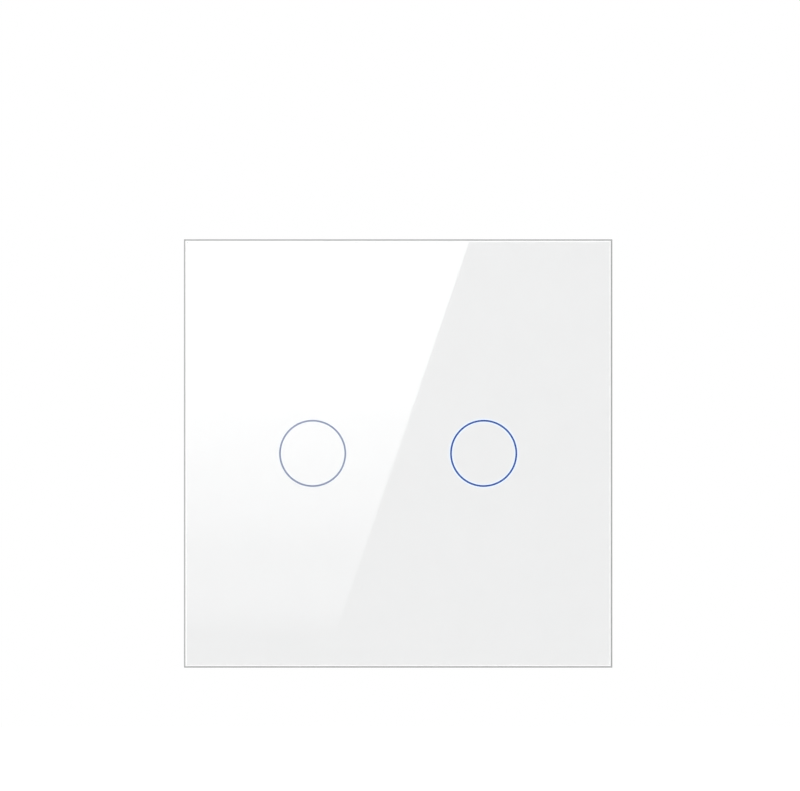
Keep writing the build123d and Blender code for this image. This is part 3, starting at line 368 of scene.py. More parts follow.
def cut_rim(level, width):
    """Bevels the four edges of the sheet at one depth, and returns the new faces."""
    rim = [e for e in sheet.edges if all(abs(v.co.y - level) < SAME_LEVEL for v in e.verts)]
    cut = bmesh.ops.bevel(
        sheet,
        geom=rim,
        offset=width,
        segments=1,
        profile=0.5,
        affect="EDGES",
        offset_type="OFFSET",
        material=-1,
    )
    return set(cut["faces"])


cut_rim(sheet_high.y, REAR_ARRIS)
ground_faces = cut_rim(sheet_low.y, ARRIS)
front_face = min(sheet.faces, key=lambda f: f.calc_center_median().y)
inset = bmesh.ops.inset_region(sheet, faces=[front_face], thickness=BEVEL, depth=0)
bevel_faces = set(inset["faces"])
for vert in {v for f in bevel_faces for v in f.verts} - set(front_face.verts):
    vert.co.y += BEVEL_DROP
print("sheet in mm:", [round(v / MM, 2) for v in sheet_high - sheet_low])

# %% Sort the faces of the sheet by their finish
CLEAR, GROUND, SATIN, BACK, EDGE = range(5)
for face in sheet.faces:
    if face in ground_faces:
        face.material_index = GROUND
    elif face in bevel_faces:
        face.material_index = SATIN
    elif face.normal.y > 0.9:
        face.material_index = BACK
    elif face.normal.y < -0.9:
        face.material_index = CLEAR
    else:
        face.material_index = EDGE
print("faces by finish:", sorted(face.material_index for face in sheet.faces))


# %% Mix the glasses
def mottled(tree, place, size, detail, low, high):
    """A tone that drifts between two hex codes in clouds of a size in mm, and the clouds."""
    noise = {"Vector": place, "Scale": 1 / (size * MM), "Detail": detail}
    clouds = add_node(tree, "ShaderNodeTexNoise", noise).outputs[0]
    tones = {0: clouds, 6: linear(low), 7: linear(high)}
    return add_node(tree, "ShaderNodeMix", tones, data_type="RGBA").outputs[2], clouds


def let_light_pass(tree, solid):
    """Mixes a shader with clear: light from lamps passes, so that what lies behind is lit evenly."""
    lit = ray_is(tree, "Shadow", "Diffuse")
    clear = add_node(tree, "ShaderNodeBsdfTransparent", {"Color": linear("FFFFFF")})
    return add_node(tree, "ShaderNodeMixShader", {0: lit, 1: solid.outputs[0], 2: clear.outputs[0]})


def glass_finish(name, tint, index, roughness=0.0, milk=0.0):
    """Float glass: a tint, an index, and how rough and how milky its surface is."""
    made, tree, place = start_finish(name)
    smear = add_node(tree, "ShaderNodeTexNoise", {"Vector": place, "Scale": 1 / (30 * MM), "Detail": 3.0})
    spread = {"Value": smear.outputs[0], "To Min": roughness, "To Max": roughness + 0.02}
    rough = add_node(tree, "ShaderNodeMapRange", spread)
    solid = add_node(
        tree,
        "ShaderNodeBsdfPrincipled",
        {
            "Base Color": linear(tint),
            "Roughness": rough.outputs[0],
            "IOR": index,
            "Transmission Weight": 1.0 - milk,
        },
    )
    end_finish(tree, let_light_pass(tree, solid))
    return made


# Clear float glass shows little but what it reflects.
clear_glass = glass_finish("clear_float_glass", "FEFFFF", 1.5)
# The bevel is left satin by the wheel, so it catches the light as one bright line.
satin_bevel = glass_finish("satin_glass_bevel", "FFFFFF", 1.5, 0.3, 0.9)
# Where the print wets the glass there is no face to see.
glass_back = glass_finish("glass_back_in_contact", "FFFFFF", 1.0)
# The cut edge is half frosted, and green by the iron in the glass.
glass_edge = glass_finish("green_tinged_glass_edge", "CFE4D9", 1.5, 0.12, 0.25)
print("materials so far:", len(bpy.data.materials))

# %% Grind the arris, and put the sheet together
# The stone leaves a fine frosted face, grey because most light goes into the sheet.
ground_glass, tree, place = start_finish("ground_glass_arris")
tone, frost = mottled(tree, place, 0.25, 4.0, "A9AAAA", "BFC0C0")
grain = add_node(tree, "ShaderNodeBump", {"Height": frost, "Strength": 0.4, "Distance": 0.02 * MM})
frosted = add_node(
    tree,
    "ShaderNodeBsdfPrincipled",
    {
        "Base Color": tone,
        "Roughness": 0.62,
        "IOR": 1.5,
        "Specular IOR Level": 0.2,
        "Normal": grain.outputs[0],
    },
)
end_finish(tree, let_light_pass(tree, frosted))

glass_sheet = make_piece(
    sheet,
    "glass_sheet",
    "front_module",
    "glass",
    clear_glass,
    ground_glass,
    satin_bevel,
    glass_back,
    glass_edge,
)
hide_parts("glass_panel")

# %% [markdown]
# ## The white print and the rings of light
#
# The back of the glass is screen-printed white, in two or three passes, and leaves two ring-shaped
# hairlines open. Under each stands the rib of a light guide with eight lamps behind it. The lit
# right-hand ring is blue, and a faint blue glow is painted on the print next to it, a quarter as
# strong beside the dim left ring, as if the ink took up a little of their light. A screen print is
# even, with a faint cloudiness of the ink that only shows close up. The hairlines are what the eye
# goes to, so the print and the guides are made anew with finely divided rings: the print is filled
# between its outlines and thickened, and a guide is one profile spun about its axis.

# %% Find how near a point is to a ring
RING_X = 17.2 * MM
RING_R = 6.57 * MM
HALO = 0.15 * MM


def away_from(tree, value, centre):
    """Distance of a value from a centre."""
    out = add_node(tree, "ShaderNodeMath", {0: value, 1: centre}, operation="SUBTRACT")
    return add_node(tree, "ShaderNodeMath", {0: out.outputs[0]}, operation="ABSOLUTE").outputs[0]


def ring_glow_mask(tree, place, side):
    """How near a point of the print is to one ring, from 1 on the ring down to 0: the mask of the blue glow
    painted round it.
    """
    centre = (side * RING_X, 0, 0)
    centred = add_node(tree, "ShaderNodeVectorMath", {0: place, 1: centre}, operation="SUBTRACT")
    flat = add_node(tree, "ShaderNodeVectorMath", {0: centred.outputs[0], 1: (1, 0, 1)}, operation="MULTIPLY")
    out = add_node(tree, "ShaderNodeVectorMath", {0: flat.outputs[0]}, operation="LENGTH")
    away = away_from(tree, out.outputs["Value"], RING_R)
    near = add_node(tree, "ShaderNodeMath", {0: away, 1: -1 / HALO}, operation="MULTIPLY")
    return add_node(tree, "ShaderNodeMath", {0: near.outputs[0]}, operation="EXPONENT").outputs[0]


print("ring centres from the middle in mm:", round(RING_X / MM, 2), "radius:", round(RING_R / MM, 2))

# %% Mix the white ink
# Screen ink behind glass is even and has no gloss of its own: the glass in front gives that.
DIM_SHARE = 0.25
HALO_LIGHT = 1.6
print_ink, tree, place = start_finish("white_screen_print")
noise = {"Vector": place, "Scale": 1 / (9 * MM), "Detail": 5.0, "Roughness": 0.6}
clouds = add_node(tree, "ShaderNodeTexNoise", noise)
whites = {0: clouds.outputs[0], 6: linear("ECECEC"), 7: linear("EFEFEF")}
tone = add_node(tree, "ShaderNodeMix", whites, data_type="RGBA")
# Round each ring the ink is given a painted blue glow, full beside the lit right ring and a quarter as strong
# beside the dim left one.
right_painted_glow = ring_glow_mask(tree, place, 1)
dimmed = {0: ring_glow_mask(tree, place, -1), 1: DIM_SHARE}
left_painted_glow = add_node(tree, "ShaderNodeMath", dimmed, operation="MULTIPLY")
both_painted_glows = add_node(tree, "ShaderNodeMath", {0: right_painted_glow, 1: left_painted_glow.outputs[0]}, operation="ADD")
painted_glow_strength = add_node(tree, "ShaderNodeMath", {0: both_painted_glows.outputs[0], 1: HALO_LIGHT}, operation="MULTIPLY")
end_surface(
    tree,
    {
        "Base Color": tone.outputs[2],
        "Roughness": 0.7,
        "IOR": 1.5,
        "Specular IOR Level": 0.0,
        "Emission Color": linear("009CFF"),
        "Emission Strength": painted_glow_strength.outputs[0],
    },
)
print("nodes in the ink:", len(tree.nodes))

# %% Cut the print with its two ring windows
RING_LINE = 0.35 * MM
RING_SIDES = 192
print_low, print_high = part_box("back_print")
ink = bmesh.new()
bmesh.ops.create_grid(ink, x_segments=1, y_segments=1, size=print_high.x)
bmesh.ops.delete(ink, geom=ink.faces[:], context="FACES_ONLY")
for side in (-1, 1):
    centre = Matrix.Translation((side * RING_X, 0, 0))
    bmesh.ops.create_circle(ink, segments=RING_SIDES, radius=RING_R + RING_LINE / 2, matrix=centre)
bmesh.ops.triangle_fill(ink, use_beauty=True, edges=ink.edges[:])
for side in (-1, 1):
    centre = Matrix.Translation((side * RING_X, 0, 0))
    radius = RING_R - RING_LINE / 2
    bmesh.ops.create_circle(ink, cap_ends=True, segments=RING_SIDES, radius=radius, matrix=centre)
lifted = bmesh.ops.extrude_face_region(ink, geom=ink.faces[:])
moved = [v for v in lifted["geom"] if isinstance(v, bmesh.types.BMVert)]
bmesh.ops.translate(ink, vec=(0, 0, print_high.y - print_low.y), verts=moved)
bmesh.ops.rotate(ink, matrix=Matrix.Rotation(math.radians(90), 3, "X"), verts=ink.verts)
bmesh.ops.translate(ink, vec=(0, print_high.y, 0), verts=ink.verts)
bmesh.ops.recalc_face_normals(ink, faces=ink.faces)
print_sheet = make_piece(ink, "white_print", "front_module", "white_print", print_ink)
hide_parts("back_print")

# %% Light the guides
# Cast acrylic glows where its rib meets the glass and fades to dark behind.
GLOW_FRONT, GLOW_REAR = -9.0 * MM, -7.2 * MM
REAR_SHARE = 0.12


def guide_finish(name, glow_code):
    """Acrylic light guide: its rib glows evenly, and has no gloss where it meets the glass."""
    made, tree, place = start_finish(name)
    depth = add_node(tree, "ShaderNodeSeparateXYZ", {0: place}).outputs["Y"]
    light = add_node(
        tree,
        "ShaderNodeMapRange",
        {"Value": depth, "From Min": GLOW_FRONT, "From Max": GLOW_REAR, "To Min": 1.0, "To Max": REAR_SHARE},
    )
    ripple = add_node(tree, "ShaderNodeTexNoise", {"Vector": place, "Scale": 1 / (1.2 * MM), "Detail": 2.0})
    rough = add_node(tree, "ShaderNodeMapRange", {"Value": ripple.outputs[0], "To Min": 0.18, "To Max": 0.32})
    end_surface(
        tree,
        {
            "Base Color": linear("101820"),
            "Roughness": rough.outputs[0],
            "IOR": 1.49,
            "Specular IOR Level": 0.0,
            "Emission Color": linear(glow_code),
            "Emission Strength": light.outputs[0],
        },
    )
    return made


lit_guide = guide_finish("lit_acrylic_guide", "003C88")
dim_guide = guide_finish("dim_acrylic_guide", "687290")
print("materials so far:", len(bpy.data.materials))


# %% Turn the two light guides
def turned(profile, centre, steps):
    """Spins a closed profile, given as radius and depth, about an axis along Y through a point."""
    shape = bmesh.new()
    corners = [shape.verts.new((centre + radius, depth, 0)) for radius, depth in profile]
    rim = [shape.edges.new((corners[i - 1], corners[i])) for i in range(len(corners))]
    bmesh.ops.spin(
        shape,
        geom=corners + rim,
        cent=(centre, 0, 0),
        axis=(0, 1, 0),
        angle=math.tau,
        steps=steps,
        use_merge=True,
    )
    bmesh.ops.remove_doubles(shape, verts=shape.verts, dist=0.001 * MM)
    bmesh.ops.recalc_face_normals(shape, faces=shape.faces)
    return shape


guide_low, guide_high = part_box("light_ring_right")
RIB_ROOM = 0.02 * MM
guide_outer = (guide_high.x - guide_low.x) / 2
rib_foot = print_high.y
GUIDE_HALF = 1.6 * MM
FLANGE_THICK = 0.6 * MM
LAMP_ROOM = 0.6 * MM
GUIDE_REAR = -7.3 * MM
rib_inner = RING_R - RING_LINE / 2 + RIB_ROOM
rib_outer = RING_R + RING_LINE / 2 - RIB_ROOM
guide_profile = [
    (RING_R - GUIDE_HALF, GUIDE_REAR),
    (RING_R - GUIDE_HALF, rib_foot),
    (rib_inner, rib_foot),
    (rib_inner, guide_low.y),
    (rib_outer, guide_low.y),
    (rib_outer, rib_foot),
    (RING_R + GUIDE_HALF, rib_foot),
    (RING_R + GUIDE_HALF, guide_high.y - FLANGE_THICK),
    (guide_outer, guide_high.y - FLANGE_THICK),
    (guide_outer, guide_high.y),
    (RING_R + LAMP_ROOM, guide_high.y),
    (RING_R + LAMP_ROOM, GUIDE_REAR),
]
for name, side, finish in (("left", -1, dim_guide), ("right", 1, lit_guide)):
    guide = turned(guide_profile, side * RING_X, RING_SIDES)
    piece = make_piece(guide, f"light_guide_{name}", "front_module", "light_guide", finish)
    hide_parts(f"light_ring_{name}")

# %% [markdown]
# ## Moulded plastics
#
# The frame, the plate and the box are moulded: the frame in white ABS with a satin face, the plate
# and box in a flame-proof blend with the fine grain that spark erosion leaves on a mould. Plastic
# of this kind varies a little in tone where it flowed, so a broad noise moves the colour slightly
# and a fine one gives the grain. No moulded edge is sharp, so a Bevel node turns the normals near
# each edge as a small round would. One recipe serves all, with its own colours, grain and round.

# %% A recipe for moulded plastic
FLOW = 14
UNEVEN = 0.08


def moulded(name, low, high, roughness, grain, depth, edge=0.12, gloss=0.5):
    """Moulded plastic: two near tones, a roughness, and grain size, grain depth and edge in mm."""
    made, tree, place = start_finish(name)
    tone = mottled(tree, place, FLOW, 3.0, low, high)[0]
    fine = add_node(tree, "ShaderNodeTexNoise", {"Vector": place, "Scale": 1 / (grain * MM), "Detail": 2.0})
    spread = {"Value": fine.outputs[0], "To Min": roughness - UNEVEN, "To Max": roughness + UNEVEN}
    rough = add_node(tree, "ShaderNodeMapRange", spread)
    softened = add_node(tree, "ShaderNodeBevel", {"Radius": edge * MM}, samples=4)
    relief = {"Height": fine.outputs[0], "Strength": 0.6, "Distance": depth * MM}
    relief["Normal"] = softened.outputs[0]
    bump = add_node(tree, "ShaderNodeBump", relief)
    end_surface(
        tree,
        {
            "Base Color": tone,
            "Roughness": rough.outputs[0],
            "IOR": 1.5,
            "Specular IOR Level": gloss,
            "Normal": bump.outputs[0],
        },
    )
    return made


# Satin ABS spreads its highlights wide and shows no grain from a step away.
white_abs = moulded("white_satin_abs", "E3E4E2", "E9EAE8", 0.46, 0.5, 0.012, 0.25, 0.4)
# The eroded mould leaves an even fine grain, which keeps plate and box dull.
box_blend = moulded("eroded_white_polycarbonate", "DBDBD7", "E3E3DF", 0.55, 0.45, 0.03, 0.3)
# Nylon with glass fibre is nearly black, and a little dull where fibres reach its face.
black_nylon = moulded("black_glass_filled_nylon", "17181A", "202124", 0.5, 0.4, 0.02)
# Relay covers are glossy polyester, with clear soft highlights on a blue-black.
relay_blue = moulded("blue_black_polyester", "121B2E", "18233A", 0.3, 0.6, 0.01)
# Their bases and bobbins are the same resin, greyer and duller.
base_grey = moulded("dark_grey_polyester", "26282B", "2E3034", 0.5, 0.5, 0.015)
# The terminal block is a mid green polyamide with a faint grain.
clamp_green = moulded("green_polyamide", "2E6B45", "387A50", 0.45, 0.5, 0.02)
# Closed-cell foam has no gloss at all and a pitted face.
foam_tape = moulded("black_polyethylene_foam", "1E1F20", "2B2C2D", 0.95, 0.35, 0.08, 0.05, 0.1)
print("materials so far:", len(bpy.data.materials))

# %% [markdown]
# ## Metals
#
# Screws are zinc-plated steel, contacts are tinned or gold-flashed brass, relay iron is nickel
# plated, and the windings are enamelled copper wire. A plated face is never quite even: the
# plating clouds its roughness, and rolled or drawn stock keeps faint lines.


# %% A recipe for plated metal
def plated(name, low, high, roughness, lines=(1, 1, 1)):
    """Plated metal: two near tones, a roughness, and how the rolling lines stretch on each axis."""
    made, tree, place = start_finish(name)
    rolled = add_node(tree, "ShaderNodeMapping", {"Vector": place, "Scale": lines})
    tone, cloud = mottled(tree, rolled.outputs[0], 0.9, 4.0, low, high)
    spread = {"Value": cloud, "To Min": roughness - 0.08, "To Max": roughness + 0.12}
    rough = add_node(tree, "ShaderNodeMapRange", spread)
    bump = add_node(tree, "ShaderNodeBump", {"Height": cloud, "Strength": 0.3, "Distance": 0.01 * MM})
    end_surface(
        tree,
        {
            "Base Color": tone,
            "Metallic": 1.0,
            "Roughness": rough.outputs[0],
            "Normal": bump.outputs[0],
        },
    )
    return made


# Zinc is a cool grey, half bright and a little cloudy.
zinc_steel = plated("zinc_plated_steel", "9FA2A6", "BCBFC2", 0.3)
# Nickel on rolled iron is warmer and duller, with lines along the strip.
nickel_iron = plated("nickel_plated_iron", "A9A7A2", "BDBBB6", 0.34, (1, 6, 1))
# Tin is a pale, soft, nearly white metal.
tin_brass = plated("tinned_brass", "C2C0BA", "D6D4CE", 0.3)
# A flash of gold is bright yellow, with soft stripes from drawing the pin.
gold_brass = plated("gold_flashed_brass", "C9A24A", "DDB75E", 0.28, (1, 0.3, 1))
# Spring wire is drawn smooth, so its nickel is the brightest here.
spring_wire = plated("nickel_plated_spring_wire", "B4B2AC", "C8C6C0", 0.26)
# The can of the radio is tinned sheet: pale grey, with rolling lines across it.
tin_can = plated("tinned_sheet_steel", "B6B8B9", "C6C8C9", 0.36, (0.25, 1, 4))
print("materials so far:", len(bpy.data.materials))

# %% [markdown]
# ## Wound parts and ceramics
#
# A winding is a hundred turns of fine enamelled wire. The turns run round the bobbin, so the wire
# shows as ridges stacked along the Y axis, which a band pattern gives. The real wire is 0.1 mm
# thick and is drawn at 0.25 mm, because finer ridges would not show. Ferrite and lamps are
# sintered or fired in a mould, so the recipe for mouldings serves for them as well.


# %% Wind the wire, wrap the tape
def band_scale(pitch):
    """Scale of a band pattern that repeats once in a pitch in mm."""
    return math.pi / (10 * pitch * MM)


def wound(name, low, high, pitch, metallic, roughness):
    """Turns round a bobbin: ridges along Y with a pitch in mm."""
    made, tree, place = start_finish(name)
    ridges = {"Vector": place, "Scale": band_scale(pitch), "Distortion": 0.6, "Detail": 1.0}
    turns = add_node(tree, "ShaderNodeTexWave", ridges, wave_type="BANDS", bands_direction="Y").outputs[1]
    # The tone follows the ridges, lighter on each crest and darker in each groove. On the copper this is
    # painted shade. On the tape it is partly the overlap of the film and partly painted shade.
    tone = add_node(tree, "ShaderNodeMix", {0: turns, 6: linear(low), 7: linear(high)}, data_type="RGBA")
    bump = add_node(tree, "ShaderNodeBump", {"Height": turns, "Strength": 0.9, "Distance": 0.08 * MM})
    end_surface(
        tree,
        {
            "Base Color": tone.outputs[2],
            "Metallic": metallic,
            "Roughness": roughness,
            "Normal": bump.outputs[0],
        },
    )
    return made


# Enamelled copper is red-brown and shiny, ridge by ridge.
copper_winding = wound("enamelled_copper_winding", "7A2F12", "C56A35", 0.25, 1.0, 0.32)
# The transformer is wrapped in yellow polyester film, in wide overlapping turns.
yellow_tape = wound("yellow_polyester_tape", "C79A1E", "E0B43A", 1.6, 0.0, 0.3)
# Ferrite is sintered: dark grey, dull and slightly rough.
ferrite = moulded("sintered_ferrite", "232325", "303033", 0.7, 0.3, 0.04)
# The lamps are small blocks of smooth cream-white ceramic.
lamp_ceramic = moulded("white_lamp_ceramic", "D8D6C2", "E6E3C8", 0.4, 0.3, 0.01)
print("materials so far:", len(bpy.data.materials))

# %% [markdown]
# ## Bodies and their leads
#
# A chip is black epoxy moulded round a lead frame, and its leads are tinned. A chip resistor or
# capacitor is fired ceramic with tinned ends. The varistor is a ceramic disc dipped in blue epoxy,
# the fuse and the yellow film capacitor are moulded, and the two large capacitors are aluminium
# cans in a shrunk sleeve, which turns in over the top and has a pale stripe on its negative side.
# A cross is scored into the bare top of a can, where it opens if the pressure inside grows.
# Body and leads are one CAD piece, so the finish finds the metal by place: outside the rectangle
# of a chip, near the ends of each small block, or below the foot of a body that stands on wires.

# %% Mix a body with its metal
TIN = "CFCDC8"
TIN_ROUGH = 0.3
SCORE_DEEP = 0.15


def two_part(tree, place, metal, body_tone, body_rough, score=0.0):
    """Ends a finish that is tin where metal is 1, and a body elsewhere; a score is a groove."""
    grain = add_node(tree, "ShaderNodeTexNoise", {"Vector": place, "Scale": 1 / (0.25 * MM), "Detail": 3.0})
    spread = {"Value": grain.outputs[0], "To Min": body_rough - 0.1, "To Max": body_rough + 0.1}
    rough = add_node(tree, "ShaderNodeMapRange", spread)
    rough = add_node(tree, "ShaderNodeMix", {0: metal, 2: rough.outputs[0], 3: TIN_ROUGH})
    tone = add_node(tree, "ShaderNodeMix", {0: metal, 6: body_tone, 7: linear(TIN)}, data_type="RGBA")
    pits = {"Height": grain.outputs[0], "Strength": 0.5, "Distance": 0.015 * MM}
    bump = add_node(tree, "ShaderNodeBump", pits)
    groove = {"Height": score, "Strength": 1.0, "Distance": SCORE_DEEP * MM, "Normal": bump.outputs[0]}
    cut = add_node(tree, "ShaderNodeBump", groove, invert=True)
    end_surface(
        tree,
        {
            "Base Color": tone.outputs[2],
            "Metallic": metal,
            "Roughness": rough.outputs[0],
            "Normal": cut.outputs[0],
        },
    )


def beyond(tree, value, centre, limit):
    """1 where a value is further than a limit from a centre, and 0 nearer to it."""
    ends = {0: away_from(tree, value, centre), 1: limit}
    return add_node(tree, "ShaderNodeMath", ends, operation="GREATER_THAN").outputs[0]


def within(tree, value, centre, limit):
    """1 where a value is nearer than a limit to a centre, and 0 further from it."""
    ends = {0: away_from(tree, value, centre), 1: limit}
    return add_node(tree, "ShaderNodeMath", ends, operation="LESS_THAN").outputs[0]


print("a scored groove is", SCORE_DEEP, "mm deep")

# %% Chips with leads, and rows of small blocks
BLOCK_STEP = 3.0
BLOCK_BODY = 0.52
BLOCK_ROW = 2.2


def leaded_chip(name, x, z, half_x, half_z):
    """Moulded chip whose body is centred at X and Z, with tinned leads outside it, in mm."""
    made, tree, place = start_finish(name)
    apart = add_node(tree, "ShaderNodeSeparateXYZ", {0: place})
    beside = beyond(tree, apart.outputs["X"], x * MM, half_x * MM)
    above = beyond(tree, apart.outputs["Z"], z * MM, half_z * MM)
    metal = add_node(tree, "ShaderNodeMath", {0: beside, 1: above}, operation="MAXIMUM")
    two_part(tree, place, metal.outputs[0], linear("18191B"), 0.55)
    return made


def chip_blocks(name, first):
    """Small blocks in steps along X: tinned ends, and brown or black bodies row by row."""
    made, tree, place = start_finish(name)
    apart = add_node(tree, "ShaderNodeSeparateXYZ", {0: place})
    across = away_from(tree, apart.outputs["X"], 0.0)
    across = add_node(tree, "ShaderNodeMath", {0: across, 1: BLOCK_STEP * MM}, operation="MODULO")
    end = beyond(tree, across.outputs[0], first * MM, BLOCK_BODY * MM)
    up = away_from(tree, apart.outputs["Z"], 0.0)
    row = add_node(tree, "ShaderNodeMath", {0: up, 1: 2 * BLOCK_ROW * MM}, operation="MODULO")
    odd = add_node(tree, "ShaderNodeMath", {0: row.outputs[0], 1: BLOCK_ROW * MM}, operation="GREATER_THAN")
    browns = {0: odd.outputs[0], 6: linear("7A6247"), 7: linear("232427")}
    body = add_node(tree, "ShaderNodeMix", browns, data_type="RGBA")
    two_part(tree, place, end, body.outputs[2], 0.5)
    return made


# Black epoxy is dull, so that the bright leads stand out round each chip.
controller_chip = leaded_chip("controller_chip_epoxy", 0.0, -14.0, 3.52, 3.52)
supply_epoxy = leaded_chip("supply_chip_epoxy", 0.0, -0.6, 2.52, 2.02)
bridge_epoxy = leaded_chip("bridge_epoxy", -9.0, 0.6, 2.42, 1.97)
driver_epoxy = leaded_chip("driver_epoxy", 9.0, 2.2, 1.47, 2.9)
# Fired ceramic: brown capacitors and black resistors, each with two bright ends.
touch_blocks = chip_blocks("touch_board_chip_ceramic", 1.0)
power_blocks = chip_blocks("power_board_chip_ceramic", 1.5)
print("materials so far:", len(bpy.data.materials))

# %% Bodies that stand on wires
BODY_FOOT = 4.15


def on_wires(name, low, high, roughness):
    """Dipped or moulded body of two near tones, on tinned wires that end at its foot."""
    made, tree, place = start_finish(name)
    depth = add_node(tree, "ShaderNodeSeparateXYZ", {0: place}).outputs["Y"]
    wire = add_node(tree, "ShaderNodeMath", {0: depth, 1: BODY_FOOT * MM}, operation="LESS_THAN")
    tone = mottled(tree, place, 6, 3.0, low, high)[0]
    two_part(tree, place, wire.outputs[0], tone, roughness)
    return made


# The film capacitor and the fuse are moulded smooth, with soft highlights.
film_yellow = on_wires("yellow_polypropylene", "C9AE2E", "D3B93B", 0.35)
fuse_brown = on_wires("brown_thermoplastic", "5A3020", "66382A", 0.35)
# Dipped epoxy flows before it sets, so the varistor is the glossiest.
blue_epoxy = on_wires("blue_dipped_epoxy", "1B3C86", "234A9A", 0.28)
print("materials so far:", len(bpy.data.materials))

# %% Sleeve the two cans
# Shrunk film is near black with a soft sheen, and the bare aluminium inside it is bright.
CAN_X, CAN_Z = 4.5, -6.1
CAN_TOP = 16.05
SLEEVE_HOLE = 3.1
STRIPE_FROM = 3.2
SCORE_HALF = 0.22
can_sleeve, tree, place = start_finish("capacitor_sleeve_and_can")
apart = add_node(tree, "ShaderNodeSeparateXYZ", {0: place})
across = away_from(tree, away_from(tree, apart.outputs["X"], 0.0), CAN_X * MM)
up = add_node(tree, "ShaderNodeMath", {0: apart.outputs["Z"], 1: CAN_Z * MM}, operation="SUBTRACT")
flat = add_node(tree, "ShaderNodeCombineXYZ", {0: across, 1: up.outputs[0]})
out = add_node(tree, "ShaderNodeVectorMath", {0: flat.outputs[0]}, operation="LENGTH")
top = add_node(tree, "ShaderNodeMath", {0: apart.outputs["Y"], 1: CAN_TOP * MM}, operation="GREATER_THAN")
hole = add_node(tree, "ShaderNodeMath", {0: out.outputs["Value"], 1: SLEEVE_HOLE * MM}, operation="LESS_THAN")
bare = add_node(tree, "ShaderNodeMath", {0: top.outputs[0], 1: hole.outputs[0]}, operation="MULTIPLY")
wire = add_node(tree, "ShaderNodeMath", {0: apart.outputs["Y"], 1: BODY_FOOT * MM}, operation="LESS_THAN")
metal = add_node(tree, "ShaderNodeMath", {0: bare.outputs[0], 1: wire.outputs[0]}, operation="MAXIMUM")
stripe = add_node(tree, "ShaderNodeMath", {0: up.outputs[0], 1: STRIPE_FROM * MM}, operation="GREATER_THAN")
blues = {0: stripe.outputs[0], 6: linear("15182A"), 7: linear("A9ADB8")}
tone = add_node(tree, "ShaderNodeMix", blues, data_type="RGBA")
arms = {0: across, 1: away_from(tree, up.outputs[0], 0.0)}
nearer = add_node(tree, "ShaderNodeMath", arms, operation="MINIMUM")
fall = {"Value": nearer.outputs[0], "From Max": SCORE_HALF * MM, "To Min": 1.0, "To Max": 0.0}
cross = add_node(tree, "ShaderNodeMapRange", fall)
cross = add_node(tree, "ShaderNodeMath", {0: cross.outputs[0], 1: bare.outputs[0]}, operation="MULTIPLY")
two_part(tree, place, metal.outputs[0], tone.outputs[2], 0.35, cross.outputs[0])
print("nodes in the sleeve:", len(tree.nodes))

# %% [markdown]
# ## Circuit boards
#
# A board is glass-fibre laminate under green solder mask. The weave of the fibre shows faintly
# through the mask, a band of copper along the rim shows as a lighter green, and the sawn edge of
# the board is the pale yellow of the bare laminate. The real weave is about 0.5 mm and is drawn at
# 0.7 mm.

# %% A recipe for a masked board
MASK, MASKED_COPPER, BARE_LAMINATE = "0F5230", "19703F", "A8A66C"
WEAVE = 0.7


def board_finish(name, half, rim):
    """Green mask on a square board of half a side, with a copper band along its rim, in mm."""
    made, tree, place = start_finish(name)
    apart = add_node(tree, "ShaderNodeSeparateXYZ", {0: place})
    across, up = (away_from(tree, apart.outputs[axis], 0.0) for axis in "XZ")
    reach = add_node(tree, "ShaderNodeMath", {0: across, 1: up}, operation="MAXIMUM")
    band = within(tree, reach.outputs[0], (half - rim) * MM, rim / 2 * MM)
    greens = {0: band, 6: linear(MASK), 7: linear(MASKED_COPPER)}
    tone = add_node(tree, "ShaderNodeMix", greens, data_type="RGBA")
    ridges = {"Vector": place, "Scale": band_scale(WEAVE)}
    warp, weft = [add_node(tree, "ShaderNodeTexWave", ridges, bands_direction=axis) for axis in "XZ"]
    crossed = {0: warp.outputs[1], 1: weft.outputs[1]}
    weave = add_node(tree, "ShaderNodeMath", crossed, operation="MULTIPLY")
    shade = add_node(tree, "ShaderNodeMapRange", {"Value": weave.outputs[0], "To Min": 0.9, "To Max": 1.08})
    shaded = {0: tone.outputs[2], 1: shade.outputs[0]}
    tone = add_node(tree, "ShaderNodeVectorMath", shaded, operation="MULTIPLY")
    normal = add_node(tree, "ShaderNodeNewGeometry").outputs["Normal"]
    facing = add_node(tree, "ShaderNodeSeparateXYZ", {0: normal})
    edge = within(tree, facing.outputs["Y"], 0.0, 0.5)
    sawn = {0: edge, 6: tone.outputs[0], 7: linear(BARE_LAMINATE)}
    tone = add_node(tree, "ShaderNodeMix", sawn, data_type="RGBA")
    rough = add_node(tree, "ShaderNodeMapRange", {"Value": edge, "To Min": 0.3, "To Max": 0.8})
    height = add_node(tree, "ShaderNodeMath", {0: weave.outputs[0], 1: band}, operation="ADD")
    relief = {"Height": height.outputs[0], "Strength": 0.3, "Distance": 0.02 * MM}
    bump = add_node(tree, "ShaderNodeBump", relief)
    end_surface(
        tree,
        {
            "Base Color": tone.outputs[2],
            "Roughness": rough.outputs[0],
            "IOR": 1.5,
            "Coat Weight": 0.3,
            "Coat Roughness": 0.15,
            "Normal": bump.outputs[0],
        },
    )
    return made


# Solder mask is a glossy green lacquer, clear enough to show copper and weave.
green_board = board_finish("green_masked_laminate", 36.0, 1.4)
power_green = board_finish("green_power_laminate", 22.8, 0.9)
print("materials so far:", len(bpy.data.materials))

